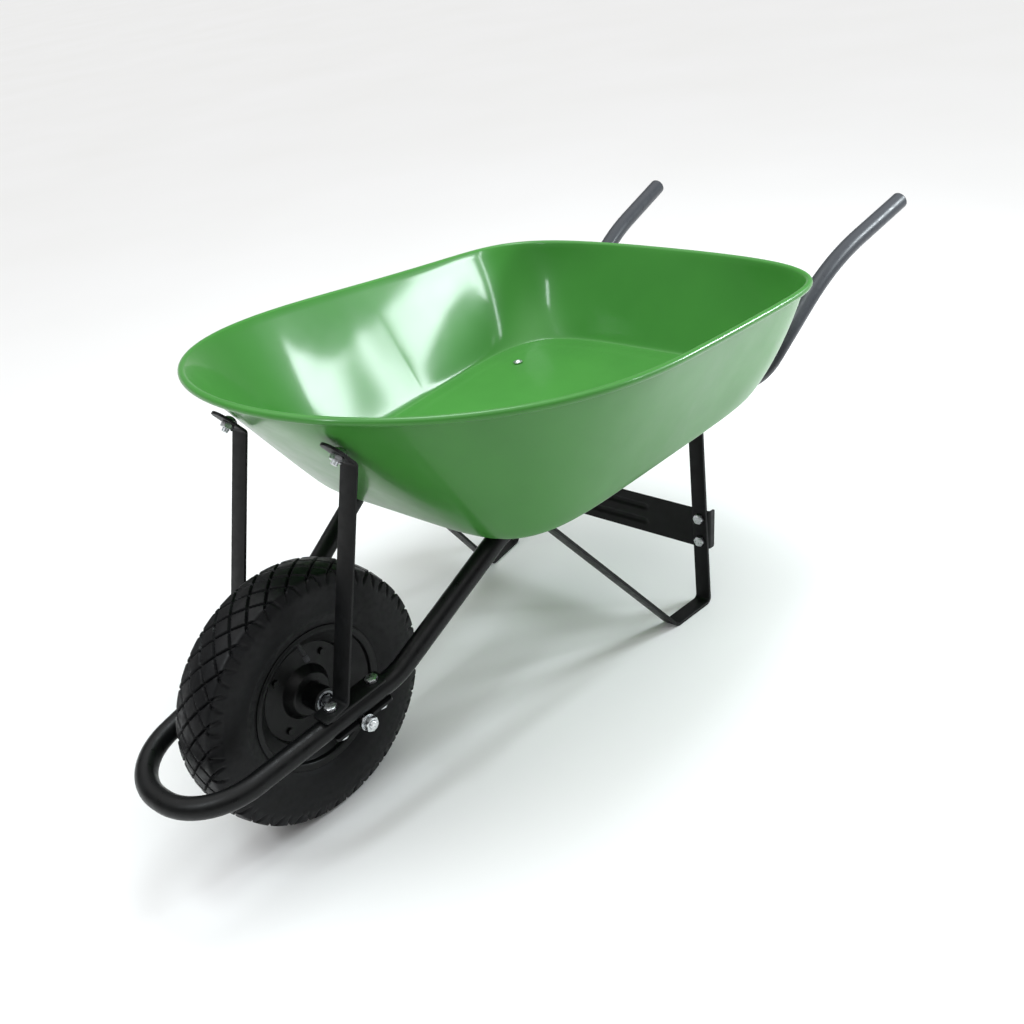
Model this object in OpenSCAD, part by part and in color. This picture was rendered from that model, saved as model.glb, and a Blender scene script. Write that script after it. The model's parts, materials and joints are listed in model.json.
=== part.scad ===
// Wheelbarrow with a pressed steel tray, a one-piece tubular frame and one pneumatic wheel.
// +X points forward to the wheel, +Y to the user's left, +Z up; the ground is z = 0.
// Lengths along X are counted from the axle, and every piece is then moved so that
// the middle of the whole object's length stands over the origin.

/* [Tray] */
// Length of the rim over the edge of the sheet
rim_length = 967; // [900:1:1050]
// Width of the rim over the edge of the sheet, at mid length
rim_width = 740; // [700:1:800]
// How much wider the front half of the rim is, as a share of its width
rim_flare = 0.063; // [0:0.001:0.09]
// Distance from the axle back to the front of the rim
rim_setback = 25; // [0:1:60]
// Height of the rim at mid length
rim_height = 583; // [540:1:620]
// Rise of the rim from mid length to its front
rim_rise = 58; // [30:1:70]
// Upward bow of the rim at both ends
rim_bow = 9; // [0:1:20]
// Squareness of the rim's front, 2 is an ellipse
rim_front_square = 2.4; // [2:0.1:4]
// Squareness of the rim's rear
rim_rear_square = 11; // [6:0.5:14]
// How far the walls swell outwards at the rear corners
corner_bulge = 17; // [0:1:25]
// Height of the tray's floor, inside
floor_height = 367; // [350:1:385]
// Distance from the axle back to the front edge of the floor
floor_setback = 254; // [240:1:280]
// Length of the floor
floor_length = 661; // [600:1:690]
// Width of the floor at its front edge
floor_width_front = 500; // [460:1:540]
// Width of the floor at its rear edge
floor_width_rear = 580; // [540:1:620]
// Squareness of the floor's front corners
floor_front_square = 6; // [4:0.5:10]
// Squareness of the floor's rear corners
floor_rear_square = 4.5; // [3:0.5:10]
// Softness of the fold between floor and walls
fold = 0.06; // [0.03:0.01:0.2]
// Thickness of the tray's sheet
sheet = 1.5; // [1:0.1:2.5]
// Diameter of the rolled rim
bead_d = 12; // [10:0.5:16]

/* [Frame tube] */
// Outside diameter of the tube
tube_d = 31.75; // [28:0.25:36]
// Wall of the tube
tube_wall = 1.6; // [1.2:0.1:2.5]
// Distance of each arm from the middle, at the axle
arm_y = 120.5; // [112:0.5:135]
// Sideways spread of the arms per unit of length
arm_spread = 0.1145; // [0.1:0.0005:0.14]
// Rise per unit of length beside the wheel
arm_slope = 0.105; // [0.06:0.005:0.15]
// Rise per unit of length from the wheel up to the tray
rise_slope = 0.521; // [0.45:0.01:0.6]
// Rise per unit of length just behind the tray
kick_slope = 0.655; // [0.5:0.01:0.75]
// Rise per unit of length of the hand grips
grip_slope = 0.206; // [0.1:0.002:0.3]
// Distance from the axle forward to the front of the loop, on the tube's axis
loop_front = 254; // [225:1:290]
// Distance from the axle back to the bend where the arms start to rise
rise_back = 73; // [66:1:90]
// Distance from the axle back to the bend behind the tray
kick_back = 944; // [930:1:990]
// Distance from the axle back to the bend of the grips
grip_back = 1147; // [1110:1:1180]
// Distance from the axle back to the ends of the handles
handle_back = 1375; // [1320:1:1450]
// Bend radius of the front loop
loop_r = 97; // [80:1:100]
// Bend radius of the other bends
bend_r = 110; // [90:1:130]
// Bend radius of the grips
grip_r = 480; // [300:10:520]

/* [Wheel] */
// Outside diameter of the tyre
tyre_d = 396; // [360:1:410]
// Width of the tyre's tread
tread_width = 80; // [70:1:90]
// Widest part of the tyre
tyre_width = 92; // [84:1:100]
// Diameter of the rim's bead seat
rim_seat_d = 203; // [190:1:210]
// Thickness of the rim's pressed discs
rim_sheet = 2; // [1.5:0.1:3]
// Diameter of the axle
axle_d = 12; // [10:0.5:14]
// Outside diameter of the hub tube
hub_d = 40; // [38:0.5:44]
// Length of the hub tube
hub_length = 96; // [90:1:110]
// Outside diameter of the ball bearings
bearing_d = 32; // [30:0.5:34]
// Width of the ball bearings
bearing_width = 10; // [9:0.5:12]
// Diameter of a bearing ball
ball_d = 4.76; // [4:0.01:5.5]
// Balls in one bearing
balls = 9; // [7:1:10]
// Bolts that hold the two rim discs together
rim_bolt_count = 4; // [3:1:6]

/* [Straps and braces] */
// Width of the front braces and of their plates
brace_width = 32; // [28:1:36]
// Thickness of the front braces and of their plates
brace_t = 4; // [3:0.5:5]
// Width of the leg straps
leg_width = 28; // [25:1:32]
// Thickness of the leg straps
leg_t = 5; // [4:0.5:6]
// Distance from the axle back to the front of the feet
foot_back = 612; // [590:1:640]
// Length of the feet on the ground
foot_length = 88; // [60:1:110]
// Distance of the feet from the middle
foot_y = 222; // [215:1:240]
// Height of the cross brace between the legs
cross_height = 72; // [60:1:80]
// Height of the cross brace's middle above the ground
cross_z = 138; // [120:1:170]
// Thickness of the cross brace
cross_t = 3; // [2.5:0.5:4]

/* [Fasteners] */
// Diameter of the bolts of the axle brackets, front braces and cross brace
bolt_d = 10; // [8:0.5:12]
// Diameter of the tray and rim disc bolts
small_bolt_d = 6; // [5:0.5:8]
// Clearance of a bolt in its hole, on the radius
bolt_gap = 0.3; // [0.2:0.05:0.5]

/* [Hidden] */

$fn = 64;
seat = 0.1;              // gap between faces that are bolted together
run_gap = 0.05;          // running clearance in the bearings
chord_gap = 0.3;         // how far a facet of a bend may cut inside its curve
tube_sides = 20;         // facets round the tube
tube_r = tube_d / 2;
wheel_r = tyre_d / 2;
axle_z = wheel_r;
deck_z = floor_height - sheet - seat - tube_r;
arm_tilt = atan(arm_slope);
arm_z = axle_z + axle_d / 2 + seat + tube_r / cos(arm_tilt);
handle_rise = kick_slope * (grip_back - kick_back);

// The tube's axis on the left side, as the points where its straight runs meet
function side_y(back) = arm_y + arm_spread * back;
rise_z = arm_z + arm_slope * rise_back;
deck_back = rise_back + (deck_z - rise_z) / rise_slope;
grip_z = deck_z + handle_rise;
handle_z = grip_z + grip_slope * (handle_back - grip_back);
loop_z = arm_z - arm_slope * loop_front;
half_route = [
    [-handle_back, side_y(handle_back), handle_z],
    [-grip_back, side_y(grip_back), grip_z],
    [-kick_back, side_y(kick_back), deck_z],
    [-deck_back, side_y(deck_back), deck_z],
    [-rise_back, side_y(rise_back), rise_z],
    [loop_front, side_y(-loop_front), loop_z]
];
half_radii = [0, grip_r, bend_r, bend_r, bend_r, loop_r];
corners = len(half_route);
route = [for (i = [0:2 * corners - 1])
    i < corners ? half_route[i] : flip(half_route[2 * corners - 1 - i])];
radii = [for (i = [0:2 * corners - 1])
    i < corners ? half_radii[i] : half_radii[2 * corners - 1 - i]];

function flip(p) = [p.x, -p.y, p.z];
function unit(v) = v / norm(v);
function turn(a, b) = acos(min(1, max(-1, a * b)));

// The object's length, from the cap on a handle to the front of the loop
cap_t = 2;
cap_r = tube_r;
grip_dir = unit(half_route[0] - half_route[1]);
rear_x = -handle_back + grip_dir.x * cap_t - cap_r * sqrt(1 - grip_dir.x * grip_dir.x);
front_x = loop_front + tube_r;
shift = -(front_x + rear_x) / 2;

// Bolt places
bracket_bolt_x = 35;     // along the arm, on both sides of the axle
plate_half = 50;         // half length of the plate under a brace's foot
tray_bolt_front = deck_back + 38;
tray_bolt_rear = kick_back - 169;
nut_h = 0.8;             // height of a nut, in bolt diameters
nut_w = 1.65;            // width of a nut across its flats, in bolt diameters
head_h = 0.65;           // height of a hexagon head, in bolt diameters
washer_t = 1.6;

// ---------- general shapes ----------

// Moves a piece from the axle's frame to the object's own
module in_place() translate([shift, 0, 0]) children();

// Left side as drawn, right side mirrored
module on_side(side) mirror([0, side < 0 ? 1 : 0, 0]) children();

module both_sides() {
    on_side(1) children();
    on_side(-1) children();
}

// Middles and directions along a bend of radius big, from direction d1 to d2 at corner v
function bend_line(v, d1, d2, big) =
    let (
        angle = turn(d1, d2),
        inward = unit(d2 - d1 * cos(angle)),
        c = v - d1 * big * tan(angle / 2) + inward * big,
        steps = ceil(angle * PI / 180 * sqrt(big / (8 * chord_gap)))
    )
    [for (i = [0:steps])
        let (q = angle * i / steps)
        [c - inward * big * cos(q) + d1 * big * sin(q), inward * sin(q) + d1 * cos(q)]];

// Middles and directions along the whole tube: its ends and its bends
function tube_line() =
    let (
        last = len(route) - 1,
        dirs = [for (i = [0:last - 1]) unit(route[i + 1] - route[i])]
    )
    concat(
        [[route[0], dirs[0]]],
        [for (i = [1:last - 1]) each bend_line(route[i], dirs[i - 1], dirs[i], radii[i])],
        [[route[last], dirs[last - 1]]]);

// A ring of points round the tube; the tube never runs upright, so +Z sets its roll
function ring(at, dir, r, sides) =
    let (across = unit(cross(dir, [0, 0, 1])), up = cross(across, dir))
    [for (k = [0:sides - 1])
        at + r * (across * cos(360 * k / sides) + up * sin(360 * k / sides))];

// The hollow tube: two skins, joined by a ring at each end
module hollow_tube(r_out, r_in, sides) {
    line = tube_line();
    n = len(line);
    function at(i, k, skin) = (2 * i + skin) * sides + k % sides;
    polyhedron(
        points = [for (p = line) each concat(ring(p[0], p[1], r_out, sides),
            ring(p[0], p[1], r_in / cos(180 / sides), sides))],
        faces = concat(
            [for (i = [0:n - 2], k = [0:sides - 1], skin = [0, 1])
                let (a = at(i, k, skin), b = at(i, k + 1, skin),
                    c = at(i + 1, k + 1, skin), d = at(i + 1, k, skin))
                each skin == 0 ? [[a, b, c], [a, c, d]] : [[a, c, b], [a, d, c]]],
            [for (k = [0:sides - 1])
                each [[at(0, k, 0), at(0, k, 1), at(0, k + 1, 1)],
                    [at(0, k, 0), at(0, k + 1, 1), at(0, k + 1, 0)]]],
            [for (k = [0:sides - 1])
                each [[at(n - 1, k, 0), at(n - 1, k + 1, 1), at(n - 1, k, 1)],
                    [at(n - 1, k, 0), at(n - 1, k + 1, 0), at(n - 1, k + 1, 1)]]]),
        convexity = 10);
}

// Points of a fillet of radius r at corner b of the path a, b, c in the plane
function fillet(a, b, c, r) =
    let (
        u = unit(b - a),
        w = unit(c - b),
        angle = turn(u, w),
        side = u.x * w.y - u.y * w.x > 0 ? 1 : -1,
        start = b - u * r * tan(angle / 2),
        centre = start + side * r * [-u.y, u.x],
        steps = 8
    )
    [for (i = [0:steps])
        let (q = side * angle * i / steps, d = start - centre)
        centre + [d.x * cos(q) - d.y * sin(q), d.x * sin(q) + d.y * cos(q)]];

// A path with all its inner corners rounded
function rounded(path, r) = concat(
    [path[0]],
    [for (i = [1:len(path) - 2]) each fillet(path[i - 1], path[i], path[i + 1], r)],
    [path[len(path) - 1]]);

// The path moved sideways by d
function beside(path, d) = [for (i = [0:len(path) - 1])
    let (
        u = unit(path[min(i + 1, len(path) - 1)] - path[max(i - 1, 0)])
    )
    path[i] + d * [-u.y, u.x]];

function backwards(list) = [for (i = [len(list) - 1:-1:0]) list[i]];

// A flat strap bent along a path in the X-Z plane, centred on y = 0
module strap(path, width, t, r) {
    line = rounded(path, r);
    rotate([90, 0, 0])
        translate([0, 0, -width / 2])
            linear_extrude(width)
                polygon(concat(beside(line, t / 2), backwards(beside(line, -t / 2))));
}

module hex(width, h) cylinder(d = width / cos(30), h = h, $fn = 6);

// A hexagon nut on +Z from the origin, with a plain hole for its bolt
module nut(d) {
    difference() {
        hex(nut_w * d, nut_h * d);
        translate([0, 0, -1]) cylinder(d = d + 2 * seat, h = nut_h * d + 2);
    }
}

// A hexagon-head bolt: the head on +Z, the shank of length reach on -Z
module hex_bolt(d, reach) {
    hex(nut_w * d, head_h * d);
    translate([0, 0, -reach]) cylinder(d = d, h = reach);
}

// A bolt with a low round head, as a carriage bolt has
module round_bolt(d, reach) {
    head_w = 2.1 * d;
    head_t = 0.5 * d;
    ball = (head_w * head_w / 4 + head_t * head_t) / (2 * head_t);
    rotate_extrude()
        intersection() {
            translate([0, head_t - ball]) circle(r = ball, $fn = 128);
            square([head_w / 2, head_t]);
        }
    translate([0, 0, -reach]) cylinder(d = d, h = reach);
}

// ---------- tray ----------

steps_round = 80;        // facets round the tray
wall_steps = 7;          // rings up a wall
roll_steps = 7;          // facets of the rolled rim
roll_turn = 300;         // how far the rim is rolled, in degrees
rim_a = rim_length / 2;
rim_x = -rim_setback - rim_a;
floor_a = floor_length / 2;
floor_x = -floor_setback - floor_a;
bead_r = bead_d / 2;

function spow(v, p) = sign(v) * pow(abs(v), p);

// Point of the rim: a flared superellipse in plan on a rising, bowed line
function rim_at(t) =
    let (
        n = cos(t) > 0 ? rim_front_square : rim_rear_square,
        cx = spow(cos(t), 2 / n),
        sy = spow(sin(t), 1)
    )
    [rim_x + rim_a * cx, rim_width / 2 * sy * (1 + rim_flare * cx),
        rim_height + rim_rise * cx + rim_bow * cx * cx];

// Point of the floor's outline: a squarer superellipse, wider at the rear
function floor_at(t) =
    let (
        n = cos(t) > 0 ? floor_front_square : floor_rear_square,
        cx = spow(cos(t), 2 / n),
        sy = spow(sin(t), 2 / n),
        half = (floor_width_front * (1 + cx) + floor_width_rear * (1 - cx)) / 4
    )
    [floor_x + floor_a * cx, half * sy, floor_height];

// Height of a wall at share s of its run: a hyperbola that leaves the floor flat
function wall_h(s) = (sqrt(s * s + fold * fold) - fold) / (sqrt(1 + fold * fold) - fold);
function wall_slope(s) = s / sqrt(s * s + fold * fold) / (sqrt(1 + fold * fold) - fold);

// Share of the swelling at angle t: none in front, the most at the rear corners
corner_peak = 3 * sqrt(3) / 2;
function swell(t) = cos(t) < 0 ? -corner_peak * pow(sin(t), 2) * cos(t) : 0;

// Inner face of the tray at angle t and share s of the way from floor to rim; the
// swelling pushes it square to the straight line from floor to rim
function face_at(t, s) =
    let (
        f = floor_at(t),
        run = rim_at(t) - f,
        level = norm([run.x, run.y]),
        h = wall_h(s),
        push = unit([run.x * run.z / level, run.y * run.z / level, -level])
    )
    f + [run.x * s, run.y * s, run.z * h] + corner_bulge * 4 * h * (1 - h) * swell(t) * push;

// Direction out of the tray, square to its face; step is a small part of a turn or of a wall
step = 0.01;
function out_at(t, s) =
    let (
        round = face_at(t + step, s) - face_at(t - step, s),
        up = face_at(t, s + step) - face_at(t, s)
    )
    s < step ? [0, 0, -1] : unit(cross(up, round) * -1);

// Direction up the wall and square to the rim
function up_at(t) = unit(cross(out_at(t, 1), rim_at(t + step) - rim_at(t - step)));

// Middle of the rolled rim
function bead_at(t) = rim_at(t) + bead_r * out_at(t, 1);

// Section of the sheet at angle t: up the inside, round the rolled rim, down the outside
function section(t) =
    let (
        shares = [for (i = [0:wall_steps]) pow(i / wall_steps, 1.6)],
        out = out_at(t, 1),
        up = up_at(t),
        roll = [for (i = [1:roll_steps])
            let (q = roll_turn * i / roll_steps) up * sin(q) - out * cos(q)]
    )
    concat(
        [for (s = shares) face_at(t, s)],
        [for (r = roll) bead_at(t) + bead_r * r],
        [for (r = backwards(roll)) bead_at(t) + (bead_r - sheet) * r],
        [for (s = backwards(shares)) face_at(t, s) + sheet * out_at(t, s)]);

function tray_angle(i) = 360 * i / steps_round;

module tray_shell() {
    rings = [for (i = [0:steps_round - 1]) section(tray_angle(i))];
    m = len(rings[0]);
    points = [for (ring = rings) each ring];
    function at(i, j) = (i % steps_round) * m + j;
    polyhedron(
        points = points,
        faces = concat(
            [for (i = [0:steps_round - 1], j = [0:m - 2])
                each [[at(i, j), at(i, j + 1), at(i + 1, j + 1)],
                    [at(i, j), at(i + 1, j + 1), at(i + 1, j)]]],
            [[for (i = [0:steps_round - 1]) at(i, 0)]],
            [[for (i = [steps_round - 1:-1:0]) at(i, m - 1)]]),
        convexity = 6);
}

module tray() color("forestgreen") in_place()
    difference() {
        tray_shell();
        both_sides() {
            for (back = [tray_bolt_front, tray_bolt_rear])
                translate([-back, side_y(back), floor_height - 10])
                    cylinder(d = small_bolt_d + 2 * bolt_gap, h = 20);
            at_brace_top() translate([0, 0, -10])
                cylinder(d = bolt_d + 2 * bolt_gap, h = 20);
        }
    }

// The wire lies inside the facets of the rolled rim
module rim_wire() color("dimgray") in_place() {
    sides = 8;
    wire_r = (bead_r - sheet) * cos(roll_turn / roll_steps / 2) - seat;
    polyhedron(
        points = [for (i = [0:steps_round - 1], k = [0:sides - 1])
            let (t = tray_angle(i), q = 360 * k / sides)
            bead_at(t) + wire_r * (out_at(t, 1) * cos(q) - up_at(t) * sin(q))],
        faces = [for (i = [0:steps_round - 1], k = [0:sides - 1])
            let (
                a = i * sides + k,
                b = i * sides + (k + 1) % sides,
                c = (i + 1) % steps_round * sides + (k + 1) % sides,
                d = (i + 1) % steps_round * sides + k
            )
            each [[a, c, b], [a, d, c]]],
        convexity = 6);
}

// ---------- frame ----------

// Left arm beside the wheel: the origin on the tube's axis above the axle, +X along it forward
module at_arm() translate([0, 0, arm_z]) rotate([0, arm_tilt, 0]) children();
function arm_side(x) = arm_y - arm_spread * x * cos(arm_tilt);

module at_bracket_bolts() at_arm()
    for (x = [-bracket_bolt_x, bracket_bolt_x])
        translate([x, arm_side(x), 0]) children();

module at_tray_bolts() for (back = [tray_bolt_front, tray_bolt_rear])
    translate([-back, side_y(back), deck_z]) children();

module frame_tube() color("#202224") in_place()
    difference() {
        hollow_tube(tube_r, tube_r - tube_wall, tube_sides);
        both_sides() {
            at_bracket_bolts() translate([0, 0, -tube_r - 5])
                cylinder(d = bolt_d + 2 * bolt_gap, h = tube_d + 10);
            at_tray_bolts() translate([0, 0, -tube_r - 5])
                cylinder(d = small_bolt_d + 2 * bolt_gap, h = tube_d + 10);
        }
    }

module handle_caps() color("#17181a") in_place()
    both_sides() translate(half_route[0])
        rotate([0, acos(grip_dir.z), atan2(grip_dir.y, grip_dir.x)]) {
            plug = 14;
            translate([0, 0, seat]) cylinder(r = cap_r, h = cap_t - seat);
            translate([0, 0, -plug]) cylinder(r = tube_r - tube_wall - seat, h = plug + 1);
        }

// ---------- front braces and axle brackets ----------

plate_z = tube_r + seat;             // underside of the plate on the tube, above its axis
foot_z = plate_z + brace_t + seat;   // underside of a brace's foot
brace_y = arm_side(bracket_bolt_x);
brace_foot_x = 18;                   // where a brace turns up from its foot, along the arm
brace_foot_end = plate_half + 8;
front_run = floor_setback - rim_setback;
front_rise = rim_height + rim_rise + rim_bow - floor_height;
wall_lean = atan(front_rise / front_run * wall_slope(1));
brace_top_s = 0.76;                  // height of the top bolt, as a share of the front wall

// Outer face of the front wall at share s of its run, in the X-Z plane
function wall_face(s, off) = [
    -floor_setback + front_run * s + (sheet + off) * sin(wall_lean),
    floor_height + front_rise * wall_h(s) - (sheet + off) * cos(wall_lean)];

brace_off = brace_t / 2 + seat;
brace_tab = [cos(wall_lean), sin(wall_lean)];
brace_bolt = wall_face(brace_top_s, brace_off);
foot_mid = foot_z + brace_t / 2;
function arm_point(x, z) = [x * cos(arm_tilt) + z * sin(arm_tilt),
    arm_z - x * sin(arm_tilt) + z * cos(arm_tilt)];

brace_path = [
    brace_bolt + 32 * brace_tab,
    brace_bolt - 22 * brace_tab,
    arm_point(brace_foot_x, foot_mid),
    arm_point(brace_foot_end, foot_mid)
];

// The front wall at a brace's top bolt: +Z points out of the tray
module at_brace_top() translate([brace_bolt.x, brace_y, brace_bolt.y])
    rotate([0, 180 - wall_lean, 0]) children();

module front_brace(side) color("#26282b") in_place() on_side(side)
    difference() {
        translate([0, brace_y, 0]) strap(brace_path, brace_width, brace_t, 7);
        at_brace_top() translate([0, 0, -10])
            cylinder(d = bolt_d + 2 * bolt_gap, h = 20);
        at_bracket_bolts() cylinder(d = bolt_d + 2 * bolt_gap, h = 40);
    }
module front_brace_left() front_brace(1);
module front_brace_right() front_brace(-1);

module top_plate(side) color("#1c1d1f") in_place() on_side(side)
    difference() {
        at_arm() translate([0, arm_y, plate_z]) rotate([0, 0, -atan(arm_spread)])
            translate([-plate_half, -brace_width / 2, 0])
                cube([2 * plate_half, brace_width, brace_t]);
        at_bracket_bolts() cylinder(d = bolt_d + 2 * bolt_gap, h = 40);
    }
module top_plate_left() top_plate(1);
module top_plate_right() top_plate(-1);

bracket_t = 5;                       // thickness of a bracket's wings
bracket_wall = 6;                    // metal round the axle
bracket_boss = brace_width - 2;      // length of the boss round the axle
module axle_bracket(side) color("#1a1b1d") in_place() on_side(side)
    difference() {
        boss_r = axle_d / 2 + bracket_wall;
        union() {
            at_arm() translate([0, arm_y, -tube_r - seat - bracket_t])
                rotate([0, 0, -atan(arm_spread)])
                    for (end = [-1, 1]) translate([end * (plate_half + boss_r + 2) / 2, 0, bracket_t / 2])
                        cube([plate_half - boss_r - 2, brace_width, bracket_t], center = true);
            translate([0, arm_y + bracket_boss / 2, axle_z]) rotate([90, 0, 0]) {
                cylinder(r = boss_r, h = bracket_boss);
                translate([-boss_r - 4, 0, 0]) cube([2 * boss_r + 8, boss_r, bracket_boss]);
            }
        }
        translate([0, arm_y + brace_width, axle_z]) rotate([90, 0, 0])
            cylinder(r = axle_d / 2 + seat, h = 2 * brace_width);
        at_arm() translate([-2 * plate_half, 0, -tube_r - seat])
            cube([4 * plate_half, 2 * arm_y, tube_d]);
        at_bracket_bolts() translate([0, 0, -60])
            cylinder(d = bolt_d + 2 * bolt_gap, h = 60);
    }
module axle_bracket_left() axle_bracket(1);
module axle_bracket_right() axle_bracket(-1);

// ---------- legs ----------

leg_z = deck_z - tube_r - seat - leg_t / 2;
leg_end = 26;                        // tab of a leg behind its rear tray bolt
foot_trim = 0.1;                     // taken off the foot's underside, to stand flat
leg_front = deck_back + bend_r * tan(atan(rise_slope) / 2);   // where the tube's level run ends
strut_back = tray_bolt_front + 29;   // where the strut leaves the tube
riser_back = tray_bolt_rear - 29;    // where the upright part reaches the tube
foot_rear = foot_back + foot_length;
leg_path = [
    [-leg_front, leg_z],
    [-strut_back, leg_z],
    [-foot_back, leg_t / 2 - foot_trim],
    [-foot_rear, leg_t / 2 - foot_trim],
    [-riser_back, leg_z],
    [-tray_bolt_rear - leg_end, leg_z]
];
leg_bend = 11;
// A leg follows the arm at its top and stands further out at its foot
foot_mid_back = foot_back + foot_length / 2;
leg_lean = (side_y(foot_mid_back) - foot_y) / leg_z;
module leaning() multmatrix([
    [1, 0, 0, 0],
    [-arm_spread, 1, leg_lean, arm_y - leg_lean * leg_z],
    [0, 0, 1, 0],
    [0, 0, 0, 1]
]) children();
function leg_side(back, z) = arm_y + arm_spread * back + leg_lean * (z - leg_z);

// The upright part of a leg at the cross brace: +Z points back out of its rear face
riser_lean = atan((riser_back - foot_rear) / (leg_z - leg_t / 2));
cross_back = foot_rear + (cross_z - leg_t / 2) * tan(riser_lean);
cross_bolt_gap = 42;                 // distance between the two bolts of one end
module at_cross() translate([-cross_back, 0, cross_z])
    rotate([0, -90 - riser_lean, 0]) children();
cross_half = leg_side(cross_back, cross_z);

module at_cross_bolts() both_sides() at_cross()
    for (up = [-1, 1])
        let (u = up * cross_bolt_gap / 2)
        translate([u, leg_side(cross_back + u * sin(riser_lean), cross_z + u * cos(riser_lean)), 0])
            children();

module leg(side) color("#2b2d30") in_place()
    difference() {
        on_side(side) leaning() strap(leg_path, leg_width, leg_t, leg_bend);
        translate([-foot_rear - foot_length, -foot_y - foot_length, -leg_t])
            cube([3 * foot_length, 2 * (foot_y + foot_length), leg_t]);
        both_sides() at_tray_bolts() translate([0, 0, -50])
            cylinder(d = small_bolt_d + 2 * bolt_gap, h = 50);
        at_cross_bolts() translate([0, 0, -20])
            cylinder(d = bolt_d + 2 * bolt_gap, h = 40);
    }
module leg_left() leg(1);
module leg_right() leg(-1);

// A pressed strip with two ribs, its ends turned back round the legs
module leg_cross_brace() color("#1f2123") in_place()
    difference() {
        half = cross_half + leg_width / 2 + 3;
        flange = 16;
        rib_h = 3;
        rib_w = 13;
        rib_long = 210;
        at_cross() translate([0, 0, leg_t / 2 + seat]) {
            difference() {
                union() {
                    translate([-cross_height / 2, -half, 0])
                        cube([cross_height, 2 * half, cross_t]);
                    for (side = [-1, 1])
                        translate([-cross_height / 2, side * (half - cross_t / 2) - cross_t / 2, 0])
                            cube([cross_height, cross_t, flange]);
                    for (up = [-1, 1]) translate([up * cross_height / 5, -rib_long / 2, 0])
                        translate([-rib_w / 2, 0, 0]) cube([rib_w, rib_long, rib_h + cross_t]);
                }
                for (up = [-1, 1]) translate([up * cross_height / 5, -rib_long / 2 + cross_t, -1])
                    translate([-rib_w / 2 + cross_t, 0, 0])
                        cube([rib_w - 2 * cross_t, rib_long - 2 * cross_t, rib_h + 1]);
            }
        }
        at_cross_bolts() translate([0, 0, -20])
            cylinder(d = bolt_d + 2 * bolt_gap, h = 40);
    }

// ---------- axle and its bearings ----------

// Wheel pieces are turned about the axle: +Z of a piece runs along +Y
module on_axle() translate([0, 0, axle_z]) rotate([-90, 0, 0]) children();

axle_end = arm_y + brace_width / 2 + 16;
nut_y = arm_y + brace_width / 2 + washer_t + 2 * seat;
bearing_y = hub_length / 2 - bearing_width / 2;
race_in_r = axle_d / 2 + 3;
race_out_r = bearing_d / 2 - 3;
pitch_r = (race_in_r + race_out_r) / 2;
ball_gap = 0.12;                     // round a ball, in its grooves
spacer_y = hub_length / 2 + 0.5;

module axle() color("silver") in_place() on_axle()
    translate([0, 0, -axle_end]) cylinder(d = axle_d, h = 2 * axle_end);

module axle_nuts() color("gainsboro") in_place()
    both_sides() on_axle() translate([0, 0, nut_y]) nut(axle_d);

module axle_washers() color("gainsboro") in_place()
    both_sides() on_axle() translate([0, 0, arm_y + brace_width / 2 + seat])
        difference() {
            cylinder(r = axle_d, h = washer_t);
            translate([0, 0, -1]) cylinder(r = axle_d / 2 + seat, h = washer_t + 2);
        }

// Tubes that keep the inner races apart from the brackets
module axle_spacers() color("dimgray") in_place()
    both_sides() on_axle() translate([0, 0, hub_length / 2 + seat])
        difference() {
            long = arm_y - brace_width / 2 - hub_length / 2 - 2 * seat;
            cylinder(r = axle_d / 2 + 2.5, h = long);
            translate([0, 0, -1]) cylinder(r = axle_d / 2 + seat, h = long + 2);
        }

module bearing_ring(r_in, r_out) {
    difference() {
        translate([0, 0, -bearing_width / 2]) cylinder(r = r_out, h = bearing_width);
        translate([0, 0, -bearing_width]) cylinder(r = r_in, h = 2 * bearing_width);
        rotate_extrude() translate([pitch_r, 0]) circle(d = ball_d + 2 * ball_gap);
    }
}

module bearing_inner_races() color("lightgray") in_place()
    both_sides() on_axle() translate([0, 0, bearing_y])
        bearing_ring(axle_d / 2 + seat / 2, race_in_r);

module bearing_outer_races() color("lightgray") in_place()
    both_sides() on_axle() translate([0, 0, bearing_y])
        bearing_ring(race_out_r, bearing_d / 2);

module bearing_balls() color("white") in_place()
    both_sides() on_axle() translate([0, 0, bearing_y])
        for (i = [0:balls - 1]) rotate(360 * i / balls) translate([pitch_r, 0, 0])
            sphere(d = ball_d);

// ---------- wheel ----------

disc_r = rim_seat_d / 2;
flange_r = disc_r + 9;
flange_y = 33;
disc_step = 3;                       // gap between a rim disc and the middle of the wheel
bolt_circle = 62;

module hub_tube() color("#151617") in_place() on_axle()
    difference() {
        translate([0, 0, -hub_length / 2]) cylinder(d = hub_d, h = hub_length);
        translate([0, 0, -hub_length]) cylinder(r = bearing_d / 2 - 1.5, h = 2 * hub_length);
        for (side = [-1, 1]) translate([0, 0, side * (hub_length / 2 - bearing_width / 2)])
            translate([0, 0, side > 0 ? -bearing_width / 2 : -bearing_width / 2 - 1])
                cylinder(d = bearing_d + 2 * run_gap / 5, h = bearing_width + 1);
    }

// Half of the rim in section, as radius against distance from the wheel's middle plane
function disc_line() = rounded([
    [hub_d / 2 + seat, disc_step + 14],
    [hub_d / 2 + 12, disc_step + 14],
    [hub_d / 2 + 22, rim_sheet / 2 + seat],
    [bolt_circle + 16, rim_sheet / 2 + seat],
    [disc_r - 22, 10],
    [disc_r - 8, 20],
    [disc_r, flange_y - 8],
    [disc_r, flange_y],
    [flange_r, flange_y + 1]
], 3);

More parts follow.
